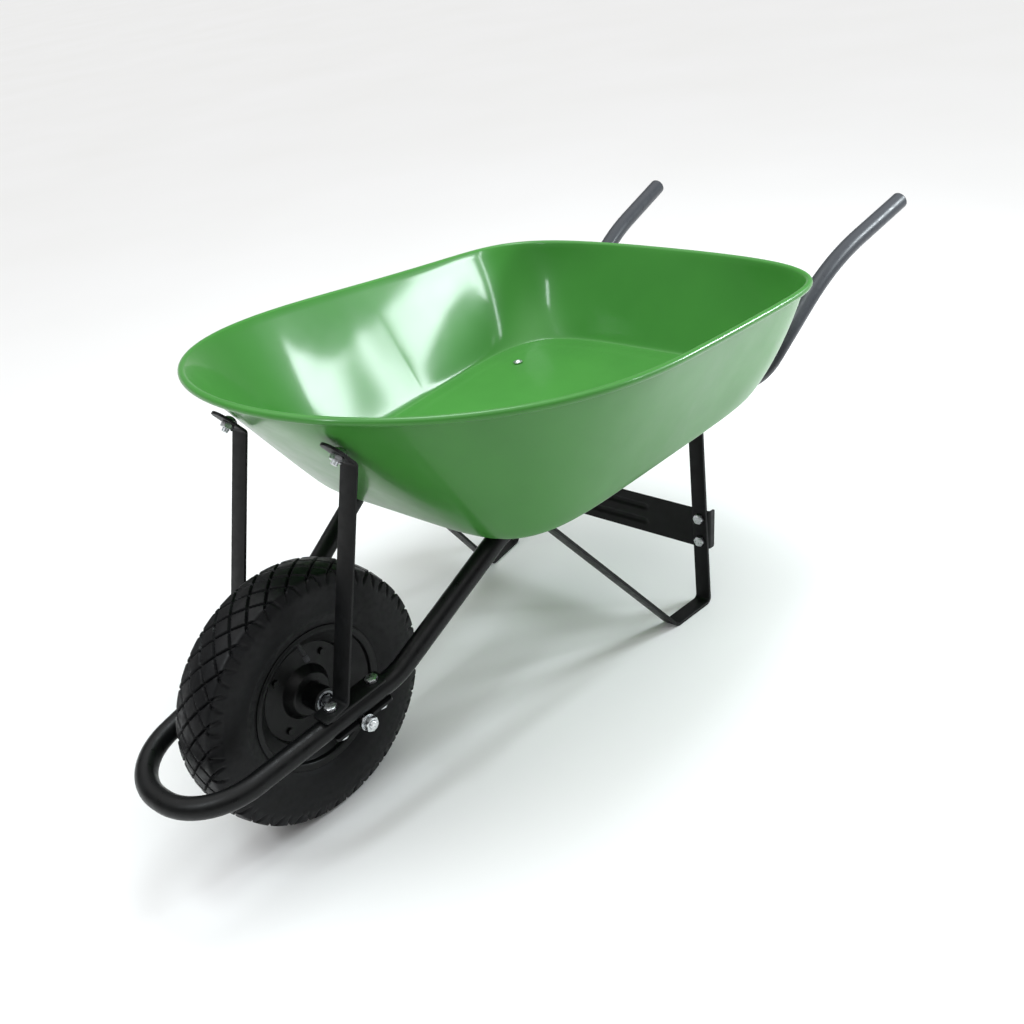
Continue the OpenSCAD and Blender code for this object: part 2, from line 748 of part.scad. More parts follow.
module rim_disc(side) color("#141516") in_place() on_side(side) on_axle()
    difference() {
        rotate_extrude($fn = 96)
            polygon(concat(beside(disc_line(), rim_sheet / 2),
                backwards(beside(disc_line(), -rim_sheet / 2))));
        at_rim_bolts() translate([0, 0, -10])
            cylinder(d = small_bolt_d + 2 * bolt_gap, h = 20);
        if (side > 0) at_valve() translate([0, 0, 20]) cylinder(r = valve_r + 1, h = 40);
    }
module at_rim_bolts() for (i = [0:rim_bolt_count - 1])
    rotate(360 * (i + 0.5) / rim_bolt_count) translate([bolt_circle, 0, 0]) children();
module rim_disc_left() rim_disc(1);
module rim_disc_right() rim_disc(-1);

disc_face = rim_sheet + seat;        // outer face of a disc at its bolts
module rim_disc_bolts() color("gainsboro") in_place() on_axle() at_rim_bolts()
    translate([0, 0, disc_face + seat]) hex_bolt(small_bolt_d, 2 * disc_face + 10);

module rim_disc_nuts() color("gainsboro") in_place() on_axle() at_rim_bolts()
    translate([0, 0, -disc_face - seat]) mirror([0, 0, 1]) nut(small_bolt_d);

// The tyre in section: tread, shoulders, bulging sidewalls and the beads on the rim
tread_r = wheel_r;
shoulder_r = wheel_r - 9;
half_tread = tread_width / 2;
bead_seat_r = disc_r + rim_sheet / 2 + seat;
module tyre() color("#101112") in_place() on_axle()
    rotate_extrude($fn = 128) {
        crown = [[tread_r - 2.5, -half_tread * 0.62], [tread_r, 0],
            [tread_r - 2.5, half_tread * 0.62]];
        outer = concat(
            [[bead_seat_r, -flange_y + 3], [flange_r + 2, -flange_y + 1],
                [flange_r + 14, -tyre_width / 2 + 6], [flange_r + 32, -tyre_width / 2 + 0.4],
                [flange_r + 44, -tyre_width / 2], [shoulder_r - 12, -half_tread - 3],
                [shoulder_r, -half_tread + 3]],
            crown,
            [[shoulder_r, half_tread - 3], [shoulder_r - 12, half_tread + 3],
                [flange_r + 44, tyre_width / 2], [flange_r + 32, tyre_width / 2 - 0.4],
                [flange_r + 14, tyre_width / 2 - 6], [flange_r + 2, flange_y - 1],
                [bead_seat_r, flange_y - 3]]);
        inner = [[bead_seat_r, flange_y - 14], [flange_r + 6, flange_y - 12],
            [flange_r + 22, tyre_width / 2 - 8], [flange_r + 44, tyre_width / 2 - 8],
            [shoulder_r - 14, half_tread - 8], [tread_r - 13, half_tread * 0.5],
            [tread_r - 13, -half_tread * 0.5], [shoulder_r - 14, -half_tread + 8],
            [flange_r + 44, -tyre_width / 2 + 8], [flange_r + 22, -tyre_width / 2 + 8],
            [flange_r + 6, -flange_y + 12], [bead_seat_r, -flange_y + 14]];
        polygon(concat(outer, inner));
    }

// The inflated tube lies inside the tyre, and is no wider than the room between its walls
tube_mid_r = (flange_r + tread_r - 13) / 2 + 4;
tube_fill_r = min((tread_r - 13 - flange_r) / 2 - 5, tyre_width / 2 - 13);
module inner_tube() color("#242424") in_place() on_axle()
    difference() {
        rotate_extrude($fn = 96) translate([tube_mid_r, 0]) circle(r = tube_fill_r);
        rotate_extrude($fn = 96) translate([tube_mid_r, 0]) circle(r = tube_fill_r - 2);
        at_valve() translate([0, 0, -6]) cylinder(r = valve_r + seat, h = 16);
    }

valve_r = 4;
valve_len = 58;
valve_lean = 30;
valve_root = 3.5;                    // how far the valve starts inside the tube's skin

// The valve leaves the tube towards the axle and leans out through the left disc
module at_valve() rotate(-90) translate([tube_mid_r - tube_fill_r + valve_root, 0, -2])
    rotate([0, -90 + valve_lean, 0]) children();

module valve_stem() color("#1b1b1b") in_place() on_axle() at_valve()
    cylinder(r = valve_r, h = valve_len);

module valve_cap() color("black") in_place() on_axle() at_valve()
    translate([0, 0, valve_len + seat]) cylinder(r = valve_r + 0.6, h = 9);

// ---------- fasteners of the frame ----------

// The long bolts run down through foot, plate, tube and bracket
module bracket_bolts() color("gainsboro") in_place() both_sides() at_arm()
    for (x = [-bracket_bolt_x, bracket_bolt_x]) {
        under = x > 0 ? foot_z + brace_t + seat : foot_z;
        translate([x, arm_side(x), under])
            hex_bolt(bolt_d, under + tube_r + bracket_t + 2 * seat + nut_h * bolt_d + 3);
    }

module bracket_nuts() color("gainsboro") in_place() both_sides() at_bracket_bolts()
    translate([0, 0, -tube_r - bracket_t - 3 * seat]) mirror([0, 0, 1]) nut(bolt_d);

head_lift = 0.5;         // the round head stands on the hollow of the wall
module brace_bolts() color("gainsboro") in_place() both_sides() at_brace_top()
    translate([0, 0, -brace_off - sheet - head_lift]) mirror([0, 0, 1])
        round_bolt(bolt_d, sheet + brace_t + nut_h * bolt_d + 6);

module brace_nuts() color("gainsboro") in_place() both_sides() at_brace_top()
    translate([0, 0, brace_t / 2 + seat]) nut(bolt_d);

module tray_bolts() color("gainsboro") in_place() both_sides() at_tray_bolts()
    translate([0, 0, tube_r + 3 * seat + sheet + washer_t])
        round_bolt(small_bolt_d, tube_d + sheet + washer_t + leg_t
            + 6 * seat + nut_h * small_bolt_d + 6);

module tray_washers() color("gainsboro") in_place() both_sides() at_tray_bolts()
    translate([0, 0, tube_r + 2 * seat + sheet])
        difference() {
            cylinder(r = small_bolt_d * 1.5, h = washer_t);
            translate([0, 0, -1]) cylinder(r = small_bolt_d / 2 + seat, h = washer_t + 2);
        }

module tray_nuts() color("gainsboro") in_place() both_sides() at_tray_bolts()
    translate([0, 0, -tube_r - leg_t - 3 * seat]) mirror([0, 0, 1]) nut(small_bolt_d);

module cross_brace_bolts() color("gainsboro") in_place() at_cross_bolts()
    translate([0, 0, -leg_t / 2 - seat]) mirror([0, 0, 1])
        hex_bolt(bolt_d, leg_t + cross_t + nut_h * bolt_d + 5);

module cross_brace_nuts() color("gainsboro") in_place() at_cross_bolts()
    translate([0, 0, leg_t / 2 + cross_t + 2 * seat]) nut(bolt_d);

tray();
rim_wire();
frame_tube();
handle_caps();
front_brace_left();
front_brace_right();
top_plate_left();
top_plate_right();
axle_bracket_left();
axle_bracket_right();
leg_left();
leg_right();
leg_cross_brace();
axle();
axle_nuts();
axle_washers();
axle_spacers();
bearing_inner_races();
bearing_outer_races();
bearing_balls();
hub_tube();
rim_disc_left();
rim_disc_right();
rim_disc_bolts();
rim_disc_nuts();
tyre();
inner_tube();
valve_stem();
valve_cap();
brace_bolts();
brace_nuts();
bracket_bolts();
bracket_nuts();
tray_bolts();
tray_washers();
tray_nuts();
cross_brace_bolts();
cross_brace_nuts();
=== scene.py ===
import json
import math

import bmesh
import bpy
import numpy as np
from mathutils import Matrix


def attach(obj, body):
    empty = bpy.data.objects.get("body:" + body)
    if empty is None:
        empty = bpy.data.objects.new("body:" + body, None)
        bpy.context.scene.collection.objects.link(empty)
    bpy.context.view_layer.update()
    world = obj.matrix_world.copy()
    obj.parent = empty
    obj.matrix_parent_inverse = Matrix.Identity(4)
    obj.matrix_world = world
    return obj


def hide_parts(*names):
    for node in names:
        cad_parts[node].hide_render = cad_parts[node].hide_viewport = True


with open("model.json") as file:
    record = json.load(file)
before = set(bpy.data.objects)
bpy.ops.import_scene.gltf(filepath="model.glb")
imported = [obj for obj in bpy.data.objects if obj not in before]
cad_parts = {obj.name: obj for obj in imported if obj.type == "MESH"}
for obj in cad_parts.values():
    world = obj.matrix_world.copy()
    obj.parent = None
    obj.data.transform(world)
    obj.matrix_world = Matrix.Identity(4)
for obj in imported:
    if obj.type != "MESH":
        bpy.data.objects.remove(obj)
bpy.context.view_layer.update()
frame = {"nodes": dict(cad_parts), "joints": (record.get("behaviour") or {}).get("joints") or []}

# ---- The tray -------------------------------------------------------------------------
# One sheet of mild steel, deep drawn in a press. Its edge is rolled outwards round a wire,
# and the whole tray is sprayed inside and out with a gloss green enamel.
# Sizes are in millimetres; lengths along X are counted from the axle.

MM = 0.001
axle_x, _, axle_z = (c / MM for c in frame["joints"][0]["pos_m"])
rim_length, rim_width, rim_flare = 967, 740, 0.063
rim_setback, rim_height, rim_rise, rim_bow = 25, 583, 58, 9
rim_front_square, rim_rear_square = 2.4, 11
floor_height, floor_setback, floor_length = 367, 254, 661
floor_width_front, floor_width_rear = 500, 580
floor_front_square, floor_rear_square = 6, 4.5
fold, sheet, bead_r, roll_turn, rim_room = 0.06, 1.5, 6, 300, 0.1
corner_bulge = 17
rim_x = -rim_setback - rim_length / 2
floor_x = -floor_setback - floor_length / 2


def spow(v, p):
    """The size of v to the power p, with the sign of v."""
    return np.sign(v) * np.abs(v) ** p


def unit(v):
    """Each vector divided by its own length."""
    return v / np.maximum(np.linalg.norm(v, axis=-1, keepdims=True), 1e-12)


def rim_at(t):
    """The rim: a superellipse in plan, wider at its front, on a line that rises and bows."""
    n = np.where(np.cos(t) > 0, rim_front_square, rim_rear_square)
    cx = spow(np.cos(t), 2 / n)
    half = rim_width / 2 * (1 + rim_flare * cx)
    height = rim_height + rim_rise * cx + rim_bow * cx * cx
    return np.stack([rim_x + rim_length / 2 * cx, half * np.sin(t), height], -1)


def floor_at(t):
    """The floor's outline: a squarer superellipse, wider at its rear."""
    n = np.where(np.cos(t) > 0, floor_front_square, floor_rear_square)
    cx, sy = spow(np.cos(t), 2 / n), spow(np.sin(t), 2 / n)
    half = (floor_width_front * (1 + cx) + floor_width_rear * (1 - cx)) / 4
    return np.stack([floor_x + floor_length / 2 * cx, half * sy, floor_height + 0 * cx], -1)


def wall_h(s):
    """Height of a wall at share s of its run: a hyperbola that leaves the floor flat."""
    return (np.sqrt(s * s + fold * fold) - fold) / (math.sqrt(1 + fold * fold) - fold)


def swell(t):
    """Share of the swelling: sine squared times minus cosine over its peak, and none in front."""
    return np.where(np.cos(t) < 0, -1.5 * math.sqrt(3) * np.sin(t) ** 2 * np.cos(t), 0)


def face_at(t, s):
    """Inner face: from the floor's outline to the rim, swelling outwards at the rear corners.

    The swelling is square to the straight line from floor to rim, and goes as h times 1 - h."""
    t, s = np.asarray(t)[:, None], np.asarray(s)[None, :]
    low, h = floor_at(t), wall_h(s)
    run = rim_at(t) - low
    point = low + run * np.stack([s + 0 * t, s + 0 * t, h + 0 * t], -1)
    level = np.linalg.norm(run[..., :2], axis=-1, keepdims=True)
    push = np.concatenate([run[..., :2] / level * run[..., 2:], -level], -1)
    return point + unit(push) * (corner_bulge * 4 * h * (1 - h) * swell(t))[..., None]


def out_at(t, s):
    """Direction out of the tray, square to the face: the cross product of its two slopes."""
    turn, rise = math.radians(0.01), 0.01
    round_it = face_at(t + turn, s) - face_at(t - turn, s)
    up_it = face_at(t, s + rise) - face_at(t, s)
    out = unit(-np.cross(up_it, round_it))
    out[:, np.asarray(s) < rise] = (0, 0, -1)
    return out


def even_angles(count):
    """Angles that step evenly along the rim, found from its length added up in small steps."""
    t = np.linspace(0, 2 * math.pi, 40001)
    way = np.concatenate([[0], np.cumsum(np.linalg.norm(np.diff(rim_at(t), axis=0), axis=1))])
    return np.interp(np.arange(count) / count * way[-1], way, t)


def skin(points, round_u=False, round_v=False):
    """Vertices and four-sided faces of a grid of points, joined to itself where it goes round."""
    n, m = points.shape[:2]
    index = np.arange(n * m).reshape(n, m)
    if round_u:
        index = np.concatenate([index, index[:1]], 0)
    if round_v:
        index = np.concatenate([index, index[:, :1]], 1)
    faces = np.stack([index[:-1, :-1], index[1:, :-1], index[1:, 1:], index[:-1, 1:]], -1)
    return points.reshape(-1, 3), faces.reshape(-1, 4)


def piece(name, skins, body, nodes, finish, crease=35):
    """One object at the origin from its skins: welded, facing out, smooth up to crease degrees.

    It rides on its body, stands for its CAD nodes and takes the finish given."""
    start, all_points, all_faces = 0, [], []
    for points, faces in skins:
        all_points.append(points + [axle_x, 0, 0])
        all_faces.append(faces + start)
        start += len(points)
    mesh = bpy.data.meshes.new(name)
    points, faces = np.concatenate(all_points) * MM, np.concatenate(all_faces)
    mesh.from_pydata(points.tolist(), [], faces.tolist())
    shape = bmesh.new()
    shape.from_mesh(mesh)
    bmesh.ops.remove_doubles(shape, verts=shape.verts, dist=2e-6)
    bmesh.ops.recalc_face_normals(shape, faces=shape.faces)
    shape.to_mesh(mesh)
    shape.free()
    mesh.polygons.foreach_set("use_smooth", np.ones(len(mesh.polygons), bool))
    mesh.set_sharp_from_angle(angle=math.radians(crease))
    made = bpy.data.objects.new(name, mesh)
    bpy.context.scene.collection.objects.link(made)
    mesh.materials.append(finish)
    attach(made, body)
    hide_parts(*nodes)
    return made


def linear(colour):
    """An sRGB hex colour as linear red, green, blue and alpha."""
    parts = np.array([int(colour[i:i + 2], 16) for i in (1, 3, 5)]) / 255
    parts = np.where(parts <= 0.04045, parts / 12.92, ((parts + 0.055) / 1.055) ** 2.4)
    return (*parts.tolist(), 1.0)


def node(tree, kind, inputs, **settings):
    """Adds a node: settings are its properties, and inputs are values or links for its sockets."""
    made = tree.nodes.new(kind)
    for name, value in settings.items():
        setattr(made, name, value)
    for name, value in inputs.items():
        if isinstance(value, bpy.types.NodeSocket):
            tree.links.new(value, made.inputs[name])
        else:
            made.inputs[name].default_value = value
    return made


SOCKETS = {"metallic": "Metallic", "roughness": "Roughness", "coat": "Coat Weight",
           "coat_roughness": "Coat Roughness", "ior": "IOR", "specular": "Specular IOR Level"}


def new_finish(name, **fixed):
    """A material with one Principled shader; fixed values go on the shader's own sockets."""
    made = bpy.data.materials.new(name)
    made.use_nodes = True
    shader = made.node_tree.nodes["Principled BSDF"]
    for key, value in fixed.items():
        shader.inputs[SOCKETS[key]].default_value = value
    return made, made.node_tree, shader


def grain(tree, size, detail=2, roughness=0.5):
    """Noise on Object coordinates whose lumps are about size millimetres across."""
    place = node(tree, "ShaderNodeTexCoord", {})
    return node(tree, "ShaderNodeTexNoise", {
        "Vector": place.outputs["Object"], "Scale": 1 / (size * MM), "Detail": detail,
        "Roughness": roughness}).outputs["Fac"]


def ramp(tree, fac, stops):
    """A colour ramp from (place, colour) stops."""
    made = node(tree, "ShaderNodeValToRGB", {"Fac": fac})
    band = made.color_ramp
    while len(band.elements) < len(stops):
        band.elements.new(0.5)
    for element, (place, colour) in zip(band.elements, stops):
        element.position, element.color = place, colour
    return made.outputs["Color"]


def level(tree, fac, low, high, start=0.3, end=0.7):
    """A number that goes from low to high as fac goes from start to end."""
    return node(tree, "ShaderNodeMapRange", {
        "Value": fac, "From Min": start, "From Max": end, "To Min": low, "To Max": high,
    }).outputs["Result"]


def bump(tree, height, depth, normal=None):
    """A bump depth millimetres high, on top of another bump where one is given."""
    links = {"Height": height, "Distance": depth * MM, "Strength": 1.0}
    if normal is not None:
        links["Normal"] = normal
    return node(tree, "ShaderNodeBump", links).outputs["Normal"]


def tint(tree, shader, fac, *stops):
    """Base colour that follows fac through (place, hex colour) stops."""
    tone = ramp(tree, fac, [(place, linear(colour)) for place, colour in stops])
    tree.links.new(tone, shader.inputs["Base Color"])


def dull(tree, shader, fac, low, high):
    """Roughness that goes from low to high with fac."""
    tree.links.new(level(tree, fac, low, high), shader.inputs["Roughness"])


def pebble(tree, shader, size, detail, depth):
    """A bump of the shader's normal, in lumps of size and depth millimetres."""
    tree.links.new(bump(tree, grain(tree, size, detail), depth), shader.inputs["Normal"])


def gloss_green_enamel():
    """Sprayed alkyd enamel, baked: wet-looking gloss with orange peel over slight press ripples."""
    made, tree, shader = new_finish("gloss_green_enamel", roughness=0.35, coat=0.32,
                                    coat_roughness=0.1, specular=0.2)
    tint(tree, shader, grain(tree, 120), (0.3, "#3b7b31"), (0.7, "#3f8134"))
    dull(tree, shader, grain(tree, 40), 0.32, 0.37)
    ripple = bump(tree, grain(tree, 130, 1), 0.7)
    tree.links.new(ripple, shader.inputs["Normal"])
    tree.links.new(ripple, shader.inputs["Coat Normal"])
    return made


round_steps = 560
angles = even_angles(round_steps)
shares = np.concatenate([np.linspace(0, 0.12, 12), np.linspace(0.14, 1, 20)])
outward = out_at(angles, shares)
inside = face_at(angles, shares)
edge_out = outward[:, -1]
along_rim = unit(rim_at(angles + 1e-3) - rim_at(angles - 1e-3))
edge_up = unit(np.cross(edge_out, along_rim))
roll = np.radians(np.linspace(0, roll_turn, 22)[1:])[None, :, None]
spoke = edge_up[:, None] * np.sin(roll) - edge_out[:, None] * np.cos(roll)
bead_middle = (rim_at(angles) + bead_r * edge_out)[:, None]
wall = np.concatenate([
    inside,
    bead_middle + (bead_r - rim_room) * spoke,
    (bead_middle + (bead_r - sheet) * spoke)[:, ::-1],
    (inside + sheet * outward)[:, ::-1]], 1)

# The floor runs in rings from its outline to its middle, with a shallow pressed step that
# leaves a band round it
band_share, band_soft, band_rise, band_outer = 0.9, 0.02, 1.2, 0.97
rings = np.concatenate([[1, 0.985, 0.96, 0.94], np.linspace(0.925, 0.875, 11),
                        np.linspace(0.84, 0, 12)])
middle = np.array([floor_x, 0, floor_height])
outline = floor_at(angles)


def floor_skin(drop):
    """The outline drawn in towards the middle; the middle lies lower than the band round it."""
    spread = (outline - middle)[:, None] * rings[None, :, None] + middle
    dish = band_rise / (1 + np.exp(-(rings - band_share) / band_soft * 2)) - band_rise
    spread[..., 2] += np.where(rings > band_outer, 0, dish)[None] - drop
    return skin(spread, True)


piece("tray_shell", [skin(wall, True), floor_skin(0), floor_skin(sheet)],
      "chassis", ["tray"], gloss_green_enamel(), 50)

# ---- The rim wire ---------------------------------------------------------------------
# Hard drawn steel wire, laid in the tray's edge before it is rolled over, so that only
# its lower edge shows it. It is joined end to end under the roll's overlap.

seat, roll_facets = 0.1, 7


def drawn_wire():
    """Drawn low-carbon wire: dull grey metal with fine lines left by the die."""
    made, tree, shader = new_finish("drawn_wire", metallic=1.0, roughness=0.45)
    tint(tree, shader, grain(tree, 4), (0.3, "#6a6c6e"), (0.7, "#87898b"))
    return made


def refinish(names, finish):
    """CAD nodes whose shape is right: each keeps its mesh and gets this finish."""
    for name in names:
        materials = frame["nodes"][name].data.materials
        materials.clear()
        materials.append(finish)


wire_r = (bead_r - sheet) * math.cos(math.radians(roll_turn / roll_facets / 2)) - seat
wire_turn = np.linspace(0, 2 * math.pi, 16, endpoint=False)[None, :, None]
wire_ring = edge_out[:, None] * np.cos(wire_turn) + edge_up[:, None] * np.sin(wire_turn)
piece("rim_wire_drawn", [skin(bead_middle + wire_r * wire_ring, True, True)], "chassis",
      ["rim_wire"], drawn_wire())

# ---- The frame tube -------------------------------------------------------------------
# One length of welded steel tube, bent cold: handles, the level run under the tray, the
# drop beside the wheel and the loop in front. Black epoxy powder coat, baked on.

tube_r, tube_wall = 31.75 / 2, 1.6
axle_r = 6
arm_y, arm_spread, arm_slope = 120.5, 0.1145, 0.105
rise_slope, kick_slope, grip_slope = 0.521, 0.655, 0.206
loop_front, rise_back, kick_back, grip_back, handle_back = 254, 73, 944, 1147, 1375
loop_r, bend_r, grip_r = 97, 110, 480
arm_tilt = math.atan(arm_slope)
arm_z = axle_z + axle_r + seat + tube_r / math.cos(arm_tilt)
deck_z = floor_height - sheet - seat - tube_r
rise_z = arm_z + arm_slope * rise_back
deck_back = rise_back + (deck_z - rise_z) / rise_slope
grip_z = deck_z + kick_slope * (grip_back - kick_back)
handle_z = grip_z + grip_slope * (handle_back - grip_back)
loop_z = arm_z - arm_slope * loop_front


def side_y(back):
    """Distance of a tube's axis from the middle, at this distance behind the axle."""
    return arm_y + arm_spread * back


half_route = np.array([[-back, side_y(back), z] for back, z in (
    (handle_back, handle_z), (grip_back, grip_z), (kick_back, deck_z), (deck_back, deck_z),
    (rise_back, rise_z), (-loop_front, loop_z))])
half_radii = [0, grip_r, bend_r, bend_r, bend_r, loop_r]


def bent_line(corners, radii, step=2.5):
    """Points and directions along a path of straight runs joined by arcs of the radii given."""
    ways = unit(np.diff(corners, axis=0))
    points, dirs = [corners[:1]], [ways[:1]]
    for corner, d1, d2, big in zip(corners[1:-1], ways[:-1], ways[1:], radii[1:-1]):
        angle = math.acos(np.clip(d1 @ d2, -1, 1))
        inward = unit(d2 - d1 * math.cos(angle))
        middle = corner - d1 * big * math.tan(angle / 2) + inward * big
        q = np.linspace(0, angle, max(2, int(math.degrees(angle) / step) + 2))[:, None]
        points.append(middle - inward * big * np.cos(q) + d1 * big * np.sin(q))
        dirs.append(inward * np.sin(q) + d1 * np.cos(q))
    points.append(corners[-1:])
    dirs.append(ways[-1:])
    return np.concatenate(points), np.concatenate(dirs)


def tube_skin(points, dirs, r, sides):
    """Rings of radius r square to the line; +Z sets their roll, as the tube is never upright."""
    across = unit(np.cross(dirs, [0, 0, 1]))
    up = np.cross(across, dirs)
    q = np.linspace(0, 2 * math.pi, sides, endpoint=False)[None, :, None]
    return points[:, None] + r * (across[:, None] * np.cos(q) + up[:, None] * np.sin(q))


def black_powder_coat(name="black_powder_coat", tone="#070808", tone_2="#0c0d0e", gloss=0.32):
    """Epoxy powder, baked: even black of middling gloss, with a fine pebble left as it flowed."""
    made, tree, shader = new_finish(name, roughness=gloss, specular=0.22)
    tint(tree, shader, grain(tree, 40, 4), (0.35, tone), (0.7, tone_2))
    dull(tree, shader, grain(tree, 12, 4), gloss - 0.06, gloss + 0.12)
    pebble(tree, shader, 1.6, 2, 0.02)
    return made


def tube_coat():
    """The same powder, with a slate grey painted along the handles behind the tray: a painted sheen
    that stands in for the bright reflection the black tube shows there.
    """
    made = black_powder_coat("black_powder_coat_on_tube")
    tree = made.node_tree
    shader = tree.nodes["Principled BSDF"]
    black = shader.inputs["Base Color"].links[0].from_socket
    place = node(tree, "ShaderNodeTexCoord", {})
    axes = node(tree, "ShaderNodeSeparateXYZ", {"Vector": place.outputs["Object"]})
    # painted sheen: a mask on Object X fades the black to slate grey along the handles, in place of
    # their lit reflection
    painted_sheen = level(tree, axes.outputs["X"], 1.0, 0.0, -0.47, -0.36)
    mixed = node(tree, "ShaderNodeMix", {"Factor": painted_sheen}, data_type="RGBA")
    tree.links.new(black, mixed.inputs[6])
    mixed.inputs[7].default_value = linear("#393b3f")
    tree.links.new(mixed.outputs[2], shader.inputs["Base Color"])
    return made


route = np.concatenate([half_route, half_route[::-1] * [1, -1, 1]])
line, line_dirs = bent_line(route, half_radii + half_radii[::-1])
tube_sides = 64
paint_room = 0.04
outer = tube_skin(line, line_dirs, tube_r - paint_room, tube_sides)
bore = tube_skin(line, line_dirs, tube_r - tube_wall, tube_sides)
end_lip = [np.stack([outer[i], bore[i]]) for i in (0, -1)]
piece("frame_tube_bent", [skin(outer, False, True), skin(bore, False, True),
                          *[skin(lip, False, True) for lip in end_lip]],
      "chassis", ["frame_tube"], tube_coat())

# ---- The handle caps ------------------------------------------------------------------
# Moulded polythene plugs, pushed into the two ends of the tube: a shallow dome with a
# rounded edge outside, and a plug that grips the bore inside.

cap_t, plug_length, cap_edge = 2, 14, 1.4


def turned(profile, sides=48):
    """A profile of (radius, distance along +Z) carried round the Z axis."""
    profile = np.asarray(profile, float)
    q = np.linspace(0, 2 * math.pi, sides, endpoint=False)[:, None]
    r, z = profile[None, :, 0], profile[None, :, 1]
    return np.stack([r * np.cos(q), r * np.sin(q), z + 0 * q], -1)


def arc(r, z, size, start, end, count=6):
    """Points of an arc in a profile: its middle, its radius and its two angles in degrees."""
    q = np.radians(np.linspace(start, end, count))
    return [(r + size * math.cos(a), z + size * math.sin(a)) for a in q]


def placed(points, matrix):
    """Points moved by a 4 x 4 matrix."""
    matrix = np.array(matrix)
    return points @ matrix[:3, :3].T + matrix[:3, 3]


def basis(x, z, origin):
    """The 4 x 4 matrix of a place, from its X and Z directions and its origin."""
    matrix = np.eye(4)
    matrix[:3] = np.stack([x, np.cross(z, x), z, origin], -1)
    return matrix


def facing(origin, way):
    """A place at origin whose +Z points along way and whose X stays level."""
    z = unit(np.array(way, float))
    x = unit(np.cross([0, 0, 1], z))
    return basis(x, z, origin)


def mirrored(skins):
    """The skins, and the same again on the right side."""
    return skins + [(points * [1, -1, 1], faces) for points, faces in skins]


def moulded_polythene():
    """Injection-moulded polythene: soft satin black with a faint bloom."""
    made, tree, shader = new_finish("moulded_polythene", roughness=0.5, ior=1.51)
    tint(tree, shader, grain(tree, 15, 3), (0.3, "#2b2d30"), (0.7, "#37393c"))
    pebble(tree, shader, 0.9, 2, 0.02)
    return made


cap_profile = ([(0, -plug_length), (tube_r - tube_wall - 2, -plug_length)]
               + arc(tube_r - tube_wall - 1 - seat, -plug_length + 1, 1, -90, 0)
               + [(tube_r - tube_wall - seat, seat), (tube_r - cap_edge, seat)]
               + arc(tube_r - cap_edge, cap_t - cap_edge, cap_edge, 0, 80)
               + [(tube_r * 0.6, cap_t - 0.05), (0, cap_t)])
polythene = moulded_polythene()
grip_way = half_route[0] - half_route[1]
cap = skin(placed(turned(cap_profile), facing(half_route[0], grip_way)), True)
piece("handle_cap_pair", mirrored([cap]), "chassis", ["handle_caps"], polythene)

# ---- The front braces and their plates ------------------------------------------------
# Flat steel bar, cut, punched and bent cold. Each brace is bolted through the front wall
# under the rim and stands on a plate on top of the tube. Black powder coat.

brace_width, brace_t = 32, 4
plate_half, bracket_bolt_x = 50, 35
brace_foot_x, brace_top_s = 18, 0.76
front_run = floor_setback - rim_setback
front_rise = rim_height + rim_rise + rim_bow - floor_height
lean_run = math.sqrt(1 + fold * fold)
wall_lean = math.atan(front_rise / front_run / lean_run / (lean_run - fold))
plate_z = tube_r + seat
foot_z = plate_z + brace_t + seat
foot_mid = foot_z + brace_t / 2
brace_off = brace_t / 2 + seat


def arm_side(x):
    """Distance of an arm's axis from the middle, x along the arm from the axle."""
    return arm_y - arm_spread * x * math.cos(arm_tilt)


def arm_point(x, z):
    """X and Z of a point x along the arm and z above its axis."""
    return (x * math.cos(arm_tilt) + z * math.sin(arm_tilt),
            arm_z - x * math.sin(arm_tilt) + z * math.cos(arm_tilt))


def closing(ring):
    """A flat cap from a ring of points to its middle."""
    return skin(np.stack([ring, np.broadcast_to(ring.mean(0), ring.shape)], 1), True)


def bar_skins(corners, radius, width, t, edge=0.7, ends=(0, 0), relief=None):
    """A flat bar bent along corners in the X-Z plane, its middle at y 0.

    The section is a rectangle with edges rounded off, carried square to the bent line.
    ends are the corner radii of its two ends in plan; relief(along, across) lifts its face."""
    corners = np.array([(x, 0, z) for x, z in corners], float)
    points, dirs = bent_line(corners, [radius] * len(corners), 6)
    way = np.concatenate([[0], np.cumsum(np.linalg.norm(np.diff(points, axis=0), axis=1))])
    extra = [way]
    for big, side in zip(ends, (0, 1)):
        if big:
            near = big * (1 - np.cos(np.radians(np.linspace(0, 90, 9))))
            extra.append(near if side == 0 else way[-1] - near)
    if relief:
        extra.append(np.arange(0, way[-1], 2.5))
    along = np.unique(np.concatenate(extra).round(4))
    points = np.stack([np.interp(along, way, points[:, i]) for i in range(3)], -1)
    dirs = unit(np.stack([np.interp(along, way, dirs[:, i]) for i in range(3)], -1))
    normal = np.cross(dirs, [0, 1, 0])
    half = np.full(len(along), width / 2)
    for big, gap in ((ends[0], along), (ends[1], along[-1] - along)):
        if big:
            inset = big - np.sqrt(np.maximum(big * big - np.maximum(big - gap, 0) ** 2, 0))
            half = half - np.where(gap < big, inset, 0)
    half = np.maximum(half, edge * 1.2)
    count = 29 if relief else 3
    flat = np.linspace(1, -1, count)
    corner = np.radians([0, 30, 60, 90])
    rows = []
    for up, across in ((1, flat), (-1, flat[::-1])):
        for share in across:
            lift = relief(along, share * half) if relief else 0
            rows.append((share * (half - edge), up * t / 2 + lift))
        for q, sign in [(q, up) for q in corner[:-1]] + [(q, -up) for q in corner[::-1]]:
            rows.append((share * (half - edge + edge * math.sin(q)),
                         sign * (t / 2 - edge + edge * math.cos(q)) + lift))
    side = np.stack([r[0] + 0 * along for r in rows], 1)
    rise = np.stack([r[1] + 0 * along for r in rows], 1)
    body = points[:, None] + normal[:, None] * rise[..., None] + side[..., None] * [0, 1, 0]
    return [skin(body, False, True), closing(body[0]), closing(body[-1])]


